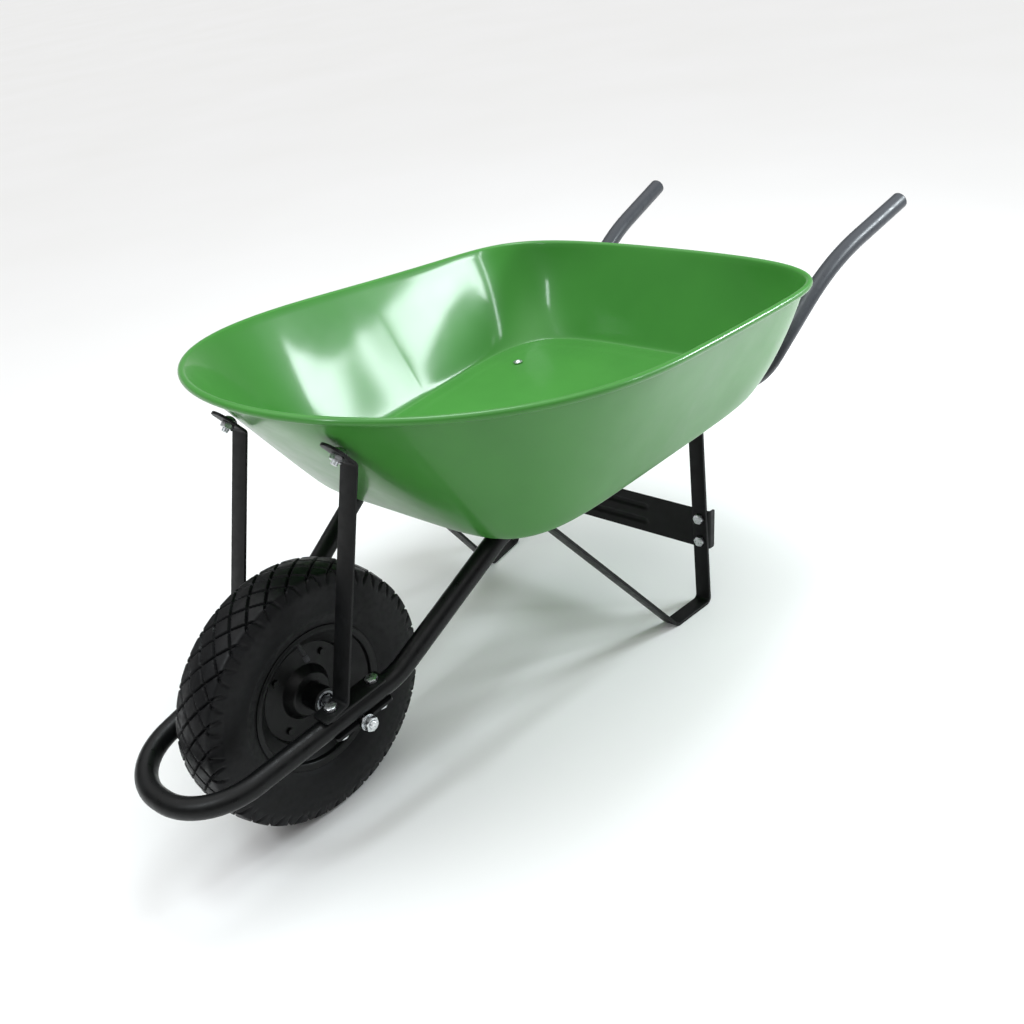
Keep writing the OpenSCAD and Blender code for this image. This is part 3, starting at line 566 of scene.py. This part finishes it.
def moved(skins, matrix):
    """The skins moved by a 4 x 4 matrix."""
    return [(placed(points, matrix), faces) for points, faces in skins]


def bar_pair(name, skins, cad_name):
    """A painted bar on the left and its mirror image on the right."""
    for side, flip in (("left", 1), ("right", -1)):
        piece(f"{name}_{side}", moved(skins, Matrix.Diagonal((1, flip, 1, 1))), "chassis",
              [f"{cad_name}_{side}"], bar_paint)


at_arm = Matrix.Translation((0, 0, arm_z)) @ Matrix.Rotation(arm_tilt, 4, "Y")
splay = Matrix.Rotation(-math.atan(arm_spread), 4, "Z")
brace_y = arm_side(bracket_bolt_x)
brace_tab = np.array([math.cos(wall_lean), math.sin(wall_lean)])
brace_bolt = np.array([
    -floor_setback + front_run * brace_top_s + (sheet + brace_off) * math.sin(wall_lean),
    floor_height + front_rise * wall_h(brace_top_s) - (sheet + brace_off) * math.cos(wall_lean)])
brace_corners = [brace_bolt + 30 * brace_tab, brace_bolt - 22 * brace_tab,
                 arm_point(brace_foot_x, foot_mid), arm_point(plate_half + 8, foot_mid)]
brace = moved(bar_skins(brace_corners, 7, brace_width, brace_t, 0.7, (15.5, 5)),
              Matrix.Translation((0, brace_y, 0)))
plate_line = [(-plate_half, 0), (plate_half, 0)]
plate = moved(bar_skins(plate_line, 5, brace_width, brace_t, 0.8, (6, 6)),
              at_arm @ Matrix.Translation((0, arm_y, plate_z + brace_t / 2)) @ splay)
bar_paint = black_powder_coat("black_powder_coat_on_bar", "#070808", "#0e0f10", 0.42)
bar_pair("brace", brace, "front_brace")
bar_pair("brace_plate", plate, "top_plate")

# ---- The axle brackets ----------------------------------------------------------------
# Flat bar pressed into a saddle: two wings bolted up against the tube, and a bend under
# the axle that holds it to the tube. Black powder coat.

bracket_t = 5
saddle_r = axle_r + seat + bracket_t / 2 + 0.4
wing_z = -tube_r - seat - bracket_t / 2
drop = -tube_r - seat - axle_r
half_saddle = [(plate_half, wing_z), (saddle_r + 3.5, wing_z), (saddle_r, drop - saddle_r * 0.55),
               (saddle_r * 0.45, drop - saddle_r)]
saddle_line = [(-x, z) for x, z in half_saddle] + half_saddle[::-1]
saddle = moved(bar_skins(saddle_line, 3, brace_width - 2, bracket_t, 0.8, (6, 6)),
               at_arm @ Matrix.Translation((0, arm_y, 0)) @ splay)
bar_pair("bracket", saddle, "axle_bracket")

# ---- The legs -------------------------------------------------------------------------
# One flat bar each, bent into a sloping strut, a short foot and an upright, with a tab at
# each end under the tube. They lean outwards to the feet. Black powder coat.

leg_width, leg_t, leg_bend = 28, 5, 11
foot_back, foot_length, foot_y = 612, 88, 222
tray_bolt_front, tray_bolt_rear = deck_back + 38, kick_back - 169
leg_z = deck_z - tube_r - seat - leg_t / 2
leg_front = deck_back + bend_r * math.tan(math.atan(rise_slope) / 2)
strut_back, riser_back, leg_end = tray_bolt_front + 29, tray_bolt_rear - 29, 26
foot_rear = foot_back + foot_length
leg_corners = [(-leg_front, leg_z), (-strut_back, leg_z), (-foot_back, leg_t / 2),
               (-foot_rear, leg_t / 2), (-riser_back, leg_z), (-tray_bolt_rear - leg_end, leg_z)]
leg_lean = (side_y(foot_back + foot_length / 2) - foot_y) / leg_z
leaning = np.eye(4)
leaning[1] = (-arm_spread, 1, leg_lean, arm_y - leg_lean * leg_z)
leg = moved(bar_skins(leg_corners, leg_bend, leg_width, leg_t, 0.8, (5, 5)), leaning)
bar_pair("leg_bar", leg, "leg")

# ---- The leg cross brace --------------------------------------------------------------
# A strip of 3 mm steel with two ribs pressed along its middle and its ends folded back,
# bolted across the backs of the two uprights. Black powder coat.

cross_height, cross_z, cross_t, cross_bolt_gap = 72, 138, 3, 42
riser_lean = math.atan((riser_back - foot_rear) / (leg_z - leg_t / 2))
cross_back = foot_rear + (cross_z - leg_t / 2) * math.tan(riser_lean)


def leg_side(back, z):
    """Distance of a leg's middle line from the object's, at this height behind the axle."""
    return arm_y + arm_spread * back + leg_lean * (z - leg_z)


cross_reach = leg_side(cross_back, cross_z) + leg_width / 2 + 3
flange, rib_h, rib_w, rib_long = 16, 3, 13, 210
cross_full = 2 * (cross_reach + flange)


def cross_ribs(along, across):
    """Two round-topped ribs: a bell across each, fading over a rib's width at its ends."""
    away = np.abs(along - cross_full / 2 + 6)
    end = np.clip((rib_long / 2 - away) / rib_w + 0.5, 0, 1)
    across = across + 0 * along
    bells = sum(np.exp(-((across - up * cross_height / 5) / (rib_w * 0.42)) ** 4)
                for up in (-1, 1))
    return rib_h * bells * end * end * (3 - 2 * end)


half_x = cross_reach - cross_t / 2
strip_corners = [(-half_x, flange), (-half_x, cross_t / 2),
                 (half_x, cross_t / 2), (half_x, flange)]
to_strip = Matrix(((0, 1, 0, 0), (1, 0, 0, 0), (0, 0, 1, 0), (0, 0, 0, 1)))
at_cross = (Matrix.Translation((-cross_back, 0, cross_z))
            @ Matrix.Rotation(math.radians(-90) - riser_lean, 4, "Y"))
cross = moved(bar_skins(strip_corners, 4, cross_height, cross_t, 0.6, (3, 3), cross_ribs),
              at_cross @ Matrix.Translation((0, 0, leg_t / 2 + seat)) @ to_strip)
piece("cross_brace_strip", cross, "chassis", ["leg_cross_brace"], bar_paint)

# ---- The axle -------------------------------------------------------------------------
# Bright steel bar, threaded at both ends, with a nut and a washer outside each bracket
# and a spacer tube between each bracket and its bearing. Zinc plated.

nut_h, nut_w, head_h, washer_t = 0.8, 1.65, 0.65, 1.6
axle_end = arm_y + brace_width / 2 + 16
hub_r, hub_length, bearing_r, bearing_width = 20, 96, 16, 10


def threaded(d, z_low, z_high, pitch, sides=36):
    """A screw thread: the radius dips by a triangle wave that moves on one pitch a turn."""
    z = np.arange(z_low, z_high, pitch / 6)
    q = np.linspace(0, 2 * math.pi, sides, endpoint=False)[:, None]
    phase = (z[None] / pitch - q / (2 * math.pi)) % 1
    chamfer = np.clip((z_high - z) / pitch, 0.25, 1) * pitch * 0.35
    depth = pitch * 0.55 * (1 - np.abs(2 * phase - 1)) + (pitch * 0.35 - chamfer)[None]
    r = d / 2 - depth
    return np.stack([r * np.cos(q), r * np.sin(q), z[None] + 0 * q], -1)


def threaded_skins(d, z_low, z_high, pitch):
    """A threaded rod with both ends closed."""
    rod = threaded(d, z_low, z_high, pitch)
    return [skin(rod, True), closing(rod[:, 0]), closing(rod[:, -1])]


def hexagon(width, sides=96):
    """Angles round a hexagon and its radii: half its width over the cosine to the flat."""
    q = np.linspace(0, 2 * math.pi, sides, endpoint=False)
    off = (q + math.pi / 6) % (math.pi / 3) - math.pi / 6
    return q, width / 2 / np.cos(off)


def hex_skins(width, h, hole_r=0.0):
    """A hexagon whose corners are turned off in a cone at both ends, with or without a hole."""
    q, r = hexagon(width)
    turned_r, flat_room = width / 2 * 0.96, 0.05
    cut = (r - turned_r) * math.tan(math.radians(30)) + flat_room
    inner = max(hole_r, 1e-3)
    edge = 0.4 if hole_r else 0
    rows = [(inner, edge), (inner, h - edge), (inner + edge, h), (turned_r * 0.98, h),
            (turned_r, h - flat_room), (r, h - cut), (r, cut), (turned_r, 0), (inner + edge, 0)]
    grid = np.stack([np.stack([a * np.cos(q), a * np.sin(q), z + 0 * q], -1)
                     for a, z in rows], 1)
    if hole_r:
        return [skin(grid, True, True)]
    return [skin(grid[:, 2:], True)]


def bright_zinc():
    """Zinc plate with a clear passivate: bright bluish silver, faintly clouded, with dull spots."""
    made, tree, shader = new_finish("bright_zinc_plate", metallic=1.0, roughness=0.28)
    cloud = grain(tree, 5, 4, 0.6)
    tint(tree, shader, cloud, (0.3, "#b9bcbf"), (0.7, "#e2e4e5"))
    dull(tree, shader, cloud, 0.2, 0.42)
    pebble(tree, shader, 0.8, 2, 0.015)
    return made


zinc = bright_zinc()
on_axle = Matrix.Translation((0, 0, axle_z)) @ Matrix.Rotation(math.radians(-90), 4, "X")


def along_axle(skins, y=0.0):
    """Skins whose +Z runs along the axle, y from the middle."""
    return moved(skins, on_axle @ Matrix.Translation((0, 0, y)))


plain_end = axle_end - 22
shaft = [skin(turned([(0, 0), (axle_r, 0), (axle_r, plain_end)]), True)]
thread = threaded_skins(2 * axle_r, plain_end - 0.5, axle_end - 0.3, 1.75)
piece("axle_rod", mirrored(along_axle(shaft + thread)), "chassis", ["axle"], zinc)

nut_y = arm_y + brace_width / 2 + washer_t + 2 * seat
axle_nut = along_axle(hex_skins(nut_w * 2 * axle_r, nut_h * 2 * axle_r, axle_r + seat), nut_y)
piece("axle_nut_pair", mirrored(axle_nut), "chassis", ["axle_nuts"], zinc, 25)


def ring_profile(r_in, r_out, low, high, edge):
    """A flat ring in section, with all four of its edges rounded."""
    corners = ((r_in + edge, low + edge, 270), (r_in + edge, high - edge, 180),
               (r_out - edge, high - edge, 90), (r_out - edge, low + edge, 0))
    return [point for r, z, q in corners for point in arc(r, z, edge, q, q - 90, 4)]


washer = skin(turned(ring_profile(axle_r + seat, 2 * axle_r, 0, washer_t, 0.4), 64), True, True)
washer_y = arm_y + brace_width / 2 + seat
piece("axle_washer_pair", mirrored(along_axle([washer], washer_y)), "chassis", ["axle_washers"],
      zinc)
spacer_long = arm_y - brace_width / 2 - hub_length / 2 - 2 * seat
spacer_wall = 2.5
spacer_ring = ring_profile(axle_r + seat, axle_r + spacer_wall, 0, spacer_long, 0.4)
spacer = skin(turned(spacer_ring), True, True)
piece("axle_spacer_pair", mirrored(along_axle([spacer], hub_length / 2 + seat)), "chassis",
      ["axle_spacers"], zinc)

# ---- The bearings ---------------------------------------------------------------------
# Two deep-groove ball bearings of hardened chrome steel, pressed into the hub. The packed
# rings and balls are true round surfaces, and get a ground finish.


def ground_steel():
    """Hardened steel, ground: clean bright metal with very fine lines."""
    made, tree, shader = new_finish("ground_bearing_steel", metallic=1.0, roughness=0.22)
    tint(tree, shader, grain(tree, 3), (0.3, "#6b6d70"), (0.7, "#85878a"))
    dull(tree, shader, grain(tree, 1.5, 3), 0.16, 0.3)
    return made


refinish(["bearing_inner_races", "bearing_outer_races", "bearing_balls"], ground_steel())

# ---- The hub and the rim --------------------------------------------------------------
# A tube turned out at both ends for its bearings, between two discs pressed from 2 mm
# sheet and bolted back to back; their edges form the seats and flanges for the tyre.

rim_seat_r, rim_sheet = 203 / 2, 2
flange_r, flange_y, disc_step, bolt_circle = rim_seat_r + 9, 33, 3, 62
bore_r = bearing_r - 1.5
hub_half = (arc(hub_r - 1, hub_length / 2 - 1, 1, 0, 90, 4)
            + arc(bearing_r + 0.6, hub_length / 2 - 0.6, 0.6, 90, 180, 3)
            + [(r, hub_length / 2 - bearing_width) for r in (bearing_r + 0.01, bore_r)])
hub_profile = hub_half + [(r, -z) for r, z in hub_half[::-1]]


def shaded_wheel_paint():
    """The wheel's own black coat, dipped before the tyre goes on; its tones are set darker than the
    frame's black as painted shade, for the shadow the wheel sits in.
    """
    # painted shade: these tones are darker than the frame's black to stand in for the wheel's
    # shadow
    return black_powder_coat("black_wheel_enamel_with_painted_shade", "#040505", "#080909", 0.36)


shaded_rim_paint = shaded_wheel_paint()
piece("hub", along_axle([skin(turned(hub_profile, 64), True, True)]), "wheel", ["hub_tube"],
      shaded_rim_paint)


def rounded_line(corners, radius, step=8):
    """The same path with its inner corners turned into arcs."""
    flat = np.array([(r, 0, z) for r, z in corners], float)
    points, dirs = bent_line(flat, [radius] * len(flat), step)
    return points[:, [0, 2]], dirs[:, [0, 2]]


disc_line, disc_way = rounded_line([
    (hub_r + seat, disc_step + 14), (hub_r + 12, disc_step + 14),
    (hub_r + 22, rim_sheet / 2 + seat),
    (bolt_circle + 16, rim_sheet / 2 + seat), (rim_seat_r - 22, 10), (rim_seat_r - 8, 20),
    (rim_seat_r, flange_y - 8), (rim_seat_r, flange_y), (flange_r, flange_y + 1)], 3)
disc_side = np.stack([-disc_way[:, 1], disc_way[:, 0]], -1) * rim_sheet / 2
lip_r, lip_z = disc_line[-1]
lip = np.array(arc(lip_r, lip_z, rim_sheet / 2, 90, -90, 7))
disc_profile = np.concatenate([disc_line[:-1] + disc_side[:-1], lip,
                               (disc_line[:-1] - disc_side[:-1])[::-1]])
for side, flip in (("left", 1), ("right", -1)):
    disc = moved([skin(turned(disc_profile, 160), True, True)], Matrix.Diagonal((1, 1, flip, 1)))
    piece(f"rim_disc_pressed_{side}", along_axle(disc), "wheel", [f"rim_disc_{side}"],
          shaded_rim_paint)

rim_bolt_count, small_d = 4, 6
disc_face = rim_sheet + seat


flip_z = Matrix.Diagonal((1, 1, -1, 1))


def raised(z):
    """A move of z along Z."""
    return Matrix.Translation((0, 0, z))


def hex_bolt_skins(d, reach, pitch=1.0):
    """A hexagon-head bolt: its head on +Z, and on -Z a plain shank that ends in thread."""
    thread_long, face_r, face_t = min(reach, 3 * d), nut_w * d / 2 * 0.95, 0.3
    skins = moved(threaded_skins(d, 0, thread_long, pitch),
                  raised(-reach) @ flip_z @ raised(-thread_long))
    if reach > thread_long:
        low = -reach + thread_long
        skins.append(skin(turned([(0, low), (d / 2, low), (d / 2, 0), (0, 0)], 24), True))
    skins.append(skin(turned([(0, 0), (face_r, 0), (face_r, face_t), (0, face_t)]), True))
    return skins + moved(hex_skins(nut_w * d, head_h * d - face_t), raised(face_t))


def nut_skins(d):
    """A hexagon nut on +Z."""
    return hex_skins(nut_w * d, nut_h * d, d / 2 + seat)


rim_places = [Matrix.Rotation(2 * math.pi * (i + 0.5) / rim_bolt_count, 4, "Z")
              @ Matrix.Translation((bolt_circle, 0, 0)) for i in range(rim_bolt_count)]
rim_bolts, rim_nuts = [], []
for place in rim_places:
    rim_bolts += moved(hex_bolt_skins(small_d, 2 * disc_face + 10),
                       on_axle @ place @ raised(disc_face + seat))
    rim_nuts += moved(nut_skins(small_d), on_axle @ place @ raised(-disc_face - seat) @ flip_z)
# the rim's bolts and nuts take the wheel's black with its painted shade
piece("rim_bolts", rim_bolts, "wheel", ["rim_disc_bolts"], shaded_rim_paint, 25)
piece("rim_nuts", rim_nuts, "wheel", ["rim_disc_nuts"], shaded_rim_paint, 25)

# ---- The tyre -------------------------------------------------------------------------
# Moulded black rubber on a cord carcass: a round crown cut into diamonds by two families
# of slanting grooves, lugs at the shoulders, and plain sidewalls with raised rings.

wheel_r, tyre_half, half_tread = 198, 46, 40
shoulder_r = wheel_r - 9
bead_seat_r = rim_seat_r + rim_sheet / 2 + seat
pitches, diamond_w, groove_w, groove_d = 32, 32.0, 3.4, 4.0
tyre_steps = 896


def smooth_path(corners, step):
    """A Catmull-Rom curve through the corners, cut into even steps."""
    c = np.array(corners, float)
    c = np.concatenate([2 * c[:1] - c[1:2], c, 2 * c[-1:] - c[-2:-1]])
    u = np.linspace(0, 1, 30, endpoint=False)[:, None]
    curve = [0.5 * (2 * b + (d - a) * u + (2 * a - 5 * b + 4 * d - e) * u ** 2
                    + (3 * b - a - 3 * d + e) * u ** 3)
             for a, b, d, e in zip(c[:-3], c[1:-2], c[2:-1], c[3:])]
    curve = np.concatenate(curve + [c[-2:-1]])
    way = np.concatenate([[0], np.cumsum(np.linalg.norm(np.diff(curve, axis=0), axis=1))])
    at = np.linspace(0, way[-1], max(2, round(way[-1] / step) + 1))
    return np.stack([np.interp(at, way, curve[:, i]) for i in range(2)], -1)


side_line = smooth_path([
    (bead_seat_r, flange_y - 3), (flange_r + 2, flange_y + 1), (flange_r + 10, tyre_half - 7),
    (flange_r + 24, tyre_half - 1.5), (flange_r + 42, tyre_half),
    (shoulder_r - 16, half_tread + 3.6), (shoulder_r - 3, half_tread - 0.5)], 4.2)
tread_line = smooth_path([
    (shoulder_r - 3, half_tread - 0.5), (shoulder_r + 3.2, half_tread - 4),
    (wheel_r - 3, half_tread * 0.6), (wheel_r - 0.8, half_tread * 0.3), (wheel_r, 0)], 1.7)
half_line = np.concatenate([side_line[:-1], tread_line])
in_line = smooth_path([
    (wheel_r - 13, 0), (wheel_r - 13.5, half_tread * 0.5), (shoulder_r - 14, half_tread - 8),
    (flange_r + 44, tyre_half - 8), (flange_r + 22, tyre_half - 8), (flange_r + 6, flange_y - 12),
    (bead_seat_r, flange_y - 14)], 14)
tyre_line = np.concatenate([half_line, (half_line[:-1] * [1, -1])[::-1],
                            (in_line * [1, -1])[::-1], in_line[1:]])
way_r, way_y = tyre_line[:, 0], tyre_line[:, 1]
slope = unit(np.roll(tyre_line, -1, 0) - np.roll(tyre_line, 1, 0))
outward_r, outward_y = -slope[:, 1], slope[:, 0]
turn_it = np.linspace(0, 2 * math.pi, tyre_steps, endpoint=False)[:, None]
is_outside = np.arange(len(tyre_line)) < 2 * len(half_line) - 1
outward_sign = np.where(outward_r * (way_r - flange_r - 30) + outward_y * way_y > 0, 1.0, -1.0)


def groove(u):
    """How deep a groove is: 1 along the lines where u is whole, 0 beyond half its width."""
    away = np.abs(u - np.round(u)) * diamond_w * 0.72
    return np.clip(1.3 - 1.3 * (away / (groove_w / 2)) ** 2, 0, 1)


def tread_depth():
    """Depth cut from the carcass: slanting grooves on the crown, notches down the shoulder."""
    u = turn_it / (2 * math.pi) * pitches
    v = (way_y / diamond_w)[None]
    cross_cut = np.maximum(groove(u + v), groove(u - v))
    on_tread = np.clip((way_r - (shoulder_r - 13)) / 4, 0, 1)[None]
    crown = np.clip((way_r - (shoulder_r - 1)) / 4, 0.0, 1)[None]
    return cross_cut * groove_d * (0.55 * on_tread + 0.45 * crown) * is_outside[None]


def side_rings():
    """Raised rings on the sidewall: each is a round ridge at its own radius."""
    ridges = [(flange_r + 8, 1.3, 0.9), (rim_seat_r + 33, 2.6, 1.0), (shoulder_r - 16, 1.4, 0.7)]
    lift = sum(h * np.exp(-((way_r - r) / w) ** 2) for r, w, h in ridges)
    return (lift * is_outside * (way_r < shoulder_r - 12))[None]


offset = (side_rings() - tread_depth()) * outward_sign[None]
tyre_r = way_r[None] + offset * outward_r[None]
tyre_y = way_y[None] + offset * outward_y[None]
tyre_points = np.stack([tyre_r * np.cos(turn_it), tyre_r * np.sin(turn_it), tyre_y], -1)


def moulded_tyre_rubber():
    """Carbon-black rubber, vulcanised in a polished mould: deep black with a dull sheen."""
    made, tree, shader = new_finish("moulded_tyre_rubber", roughness=0.42, specular=0.2)
    tint(tree, shader, grain(tree, 20, 5, 0.6), (0.3, "#040405"), (0.7, "#0a0b0d"))
    dull(tree, shader, grain(tree, 9, 4), 0.34, 0.58)
    pebble(tree, shader, 1.2, 3, 0.05)
    return made


piece("tyre_treaded", along_axle([skin(tyre_points, True, True)]), "wheel", ["tyre"],
      moulded_tyre_rubber(), 38)

# ---- The inner tube and its valve -----------------------------------------------------
# A ring of butyl rubber, blown up inside the tyre. Its valve is moulded round a brass
# stem, leans out through a hole in the left disc, and has a ribbed screw cap.


def smooth_butyl():
    """Butyl rubber: smooth matt black with a grey bloom of talc."""
    made, tree, shader = new_finish("smooth_butyl_rubber", roughness=0.6, ior=1.52)
    tint(tree, shader, grain(tree, 12, 4), (0.3, "#121314"), (0.75, "#25272a"))
    return made


butyl = smooth_butyl()
refinish(["inner_tube"], butyl)
valve_r, valve_len, valve_lean, valve_root = 4, 58, 30, 3.5
tube_mid_r = (flange_r + wheel_r - 13) / 2 + 4
tube_fill_r = (wheel_r - 13 - flange_r) / 2 - 5
at_valve = (on_axle @ Matrix.Rotation(math.radians(-90), 4, "Z")
            @ Matrix.Translation((tube_mid_r - tube_fill_r + valve_root, 0, -2))
            @ Matrix.Rotation(math.radians(-90 + valve_lean), 4, "Y"))
stem_profile = [(0, 0), (valve_r, 0), (valve_r, 30), (valve_r - 0.5, 33),
                (valve_r - 0.5, valve_len - 1), (valve_r - 1, valve_len), (0, valve_len)]
piece("valve_stem_moulded", moved([skin(turned(stem_profile, 32), True)], at_valve), "wheel",
      ["valve_stem"], butyl)
ribs, rib_rise, cap_long = 16, 0.3, 9
around = np.linspace(0, 2 * math.pi, ribs * 6, endpoint=False)
cap_rings = []
for r, z, ribbed in ((0.001, 0, 0), (valve_r + 0.2, 0, 1), (valve_r + 0.2, cap_long - 2, 1),
                     (valve_r - 0.4, cap_long - 0.6, 0), (valve_r - 1.4, cap_long, 0),
                     (0.001, cap_long, 0)):
    ring_r = r + rib_rise * ribbed * np.cos(ribs * around)
    cap_rings.append(np.stack([ring_r * np.cos(around), ring_r * np.sin(around),
                               z + 0 * around], -1))
valve_cap = [skin(np.stack(cap_rings, 1), True)]
piece("valve_cap_ribbed", moved(valve_cap, at_valve @ raised(valve_len + seat)), "wheel",
      ["valve_cap"], polythene)

# ---- The frame's fasteners ------------------------------------------------------------
# Steel bolts and nuts, zinc plated: long hexagon bolts down through brace, plate, tube and
# bracket; round-headed ones through the tray; short ones through the cross brace.

frame_d, head_lift = 10, 0.5
reach_below = tube_r + bracket_t + 2 * seat + nut_h * frame_d + 3
bolts, nuts = [], []
for x in (-bracket_bolt_x, bracket_bolt_x):
    under = foot_z + brace_t + seat if x > 0 else foot_z
    place = at_arm @ Matrix.Translation((x, arm_side(x), 0))
    bolts += moved(hex_bolt_skins(frame_d, under + reach_below, 1.5), place @ raised(under))
    nuts += moved(nut_skins(frame_d), place @ raised(-tube_r - bracket_t - 3 * seat) @ flip_z)
piece("bracket_bolt_set", mirrored(bolts), "chassis", ["bracket_bolts"], zinc, 25)
piece("bracket_nut_set", mirrored(nuts), "chassis", ["bracket_nuts"], zinc, 25)


def round_bolt_skins(d, reach):
    """A bolt with a low round head on +Z and a thread on -Z."""
    head_r, head_t = 1.05 * d, 0.5 * d
    ball = (head_r ** 2 + head_t ** 2) / (2 * head_t)
    top = math.degrees(math.asin(head_r / ball))
    dome = arc(0, head_t - ball, ball, 90 - top, 90, 12)
    shank = moved(threaded_skins(d, 0, reach, 1.0), flip_z)
    return [skin(turned([(0, 0), (head_r - 0.3, 0)] + dome, 40), True), *shank]


at_brace_top = (Matrix.Translation((brace_bolt[0], brace_y, brace_bolt[1]))
                @ Matrix.Rotation(math.pi - wall_lean, 4, "Y"))
top_bolt = moved(round_bolt_skins(frame_d, sheet + brace_t + nut_h * frame_d + 6),
                 at_brace_top @ raised(-brace_off - sheet - head_lift) @ flip_z)
piece("brace_bolt_pair", mirrored(top_bolt), "chassis", ["brace_bolts"], zinc, 25)
top_nut = moved(nut_skins(frame_d), at_brace_top @ raised(brace_t / 2 + seat))
piece("brace_nut_pair", mirrored(top_nut), "chassis", ["brace_nuts"], zinc, 25)

bolts, washers, nuts = [], [], []
tray_reach = 2 * tube_r + sheet + washer_t + leg_t + 6 * seat + nut_h * small_d + 6
small_ring = ring_profile(small_d / 2 + seat, small_d * 1.5, 0, washer_t, 0.4)
small_washer = [skin(turned(small_ring), True, True)]
for back in (tray_bolt_front, tray_bolt_rear):
    place = Matrix.Translation((-back, side_y(back), deck_z))
    bolts += moved(round_bolt_skins(small_d, tray_reach),
                   place @ raised(tube_r + 3 * seat + sheet + washer_t))
    washers += moved(small_washer, place @ raised(tube_r + 2 * seat + sheet))
    nuts += moved(nut_skins(small_d), place @ raised(-tube_r - leg_t - 3 * seat) @ flip_z)
piece("tray_bolt_set", mirrored(bolts), "chassis", ["tray_bolts"], zinc, 25)
piece("tray_washer_set", mirrored(washers), "chassis", ["tray_washers"], zinc)
piece("tray_nut_set", mirrored(nuts), "chassis", ["tray_nuts"], zinc, 25)

bolts, nuts = [], []
for up in (-1, 1):
    u = up * cross_bolt_gap / 2
    side = leg_side(cross_back + u * math.sin(riser_lean), cross_z + u * math.cos(riser_lean))
    place = at_cross @ Matrix.Translation((u, side, 0))
    bolts += moved(hex_bolt_skins(frame_d, leg_t + cross_t + nut_h * frame_d + 5, 1.5),
                   place @ raised(-leg_t / 2 - seat) @ flip_z)
    nuts += moved(nut_skins(frame_d), place @ raised(leg_t / 2 + cross_t + 2 * seat))
piece("cross_bolt_set", mirrored(bolts), "chassis", ["cross_brace_bolts"], zinc, 25)
piece("cross_nut_set", mirrored(nuts), "chassis", ["cross_brace_nuts"], zinc, 25)

# ---- The floor, the lights and the camera ---------------------------------------------
# A plain pale studio floor, a sky that is bright overhead, and soft boxes behind, beside, in
# front of and over the barrow. None is part of the object. The Standard view transform
# shows colours as they are set.


def pale_floor():
    """Painted studio floor: matt, nearly white."""
    made, tree, shader = new_finish("pale_studio_floor", roughness=0.9, specular=0.1)
    tint(tree, shader, grain(tree, 900), (0.2, "#ededec"), (0.8, "#f0f0f0"))
    return made


half_floor = 60.0
floor_mesh = bpy.data.meshes.new("studio_floor")
floor_corners = [(x * half_floor, y * half_floor, 0)
                 for x, y in ((-1, -1), (1, -1), (1, 1), (-1, 1))]
floor_mesh.from_pydata(floor_corners, [], [(0, 1, 2, 3)])
studio_floor = bpy.data.objects.new("studio_floor", floor_mesh)
bpy.context.scene.collection.objects.link(studio_floor)
floor_mesh.materials.append(pale_floor())

world = bpy.data.worlds.new("studio_sky")
bpy.context.scene.world = world
world.use_nodes = True
sky = world.node_tree
sky_place = node(sky, "ShaderNodeTexCoord", {})
sky_way = node(sky, "ShaderNodeSeparateXYZ", {"Vector": sky_place.outputs["Generated"]})
sky_greys = ((0.0, 0.30), (0.2, 0.13), (0.5, 0.13), (0.8, 1.0))
sky_tone = ramp(sky, sky_way.outputs["Z"], [(z, (grey, grey, grey, 1)) for z, grey in sky_greys])
sky.links.new(sky_tone, sky.nodes["Background"].inputs["Color"])
sky.nodes["Background"].inputs["Strength"].default_value = 1.6


def soft_box(name, place, aim, width, height, watts):
    """A rectangular area light at place, turned to face aim; lengths in metres."""
    lamp = bpy.data.lights.new(name, "AREA")
    lamp.shape, lamp.size, lamp.size_y, lamp.energy = "RECTANGLE", width, height, watts
    lamp.color = (0.88, 0.96, 1.0)
    made = bpy.data.objects.new(name, lamp)
    made.matrix_world = Matrix(facing(place, np.subtract(place, aim)).tolist())
    bpy.context.scene.collection.objects.link(made)


soft_box("box_behind", (-1.34, 0.90, 1.00), (0.12, -0.31, 0.46), 0.42, 0.26, 17)
soft_box("box_beside", (-1.37, 1.75, 1.37), (-0.28, -0.32, 0.47), 0.10, 0.55, 6)
soft_box("box_strip", (1.79, -0.05, 1.70), (-0.38, -0.24, 0.49), 0.16, 0.55, 9)
soft_box("box_overhead", (-0.15, 0.0, 2.3), (-0.15, 0.01, 0.4), 1.1, 0.8, 24)

bpy.context.scene.view_settings.view_transform = "Standard"
camera_data = bpy.data.cameras.new("camera")
camera_data.sensor_width, camera_data.lens = 36.0, 39.83
camera = bpy.data.objects.new("camera", camera_data)
camera_at = (axle_x * MM + 0.7025, 1.1928, 1.1896)
look = unit(np.array([-0.6141, -0.6181, -0.4907]))
camera_right = unit(np.array([-0.6410, 0.7534, -0.1466]))
camera.matrix_world = Matrix(basis(camera_right, -look, camera_at).tolist())
bpy.context.scene.collection.objects.link(camera)
bpy.context.scene.camera = camera
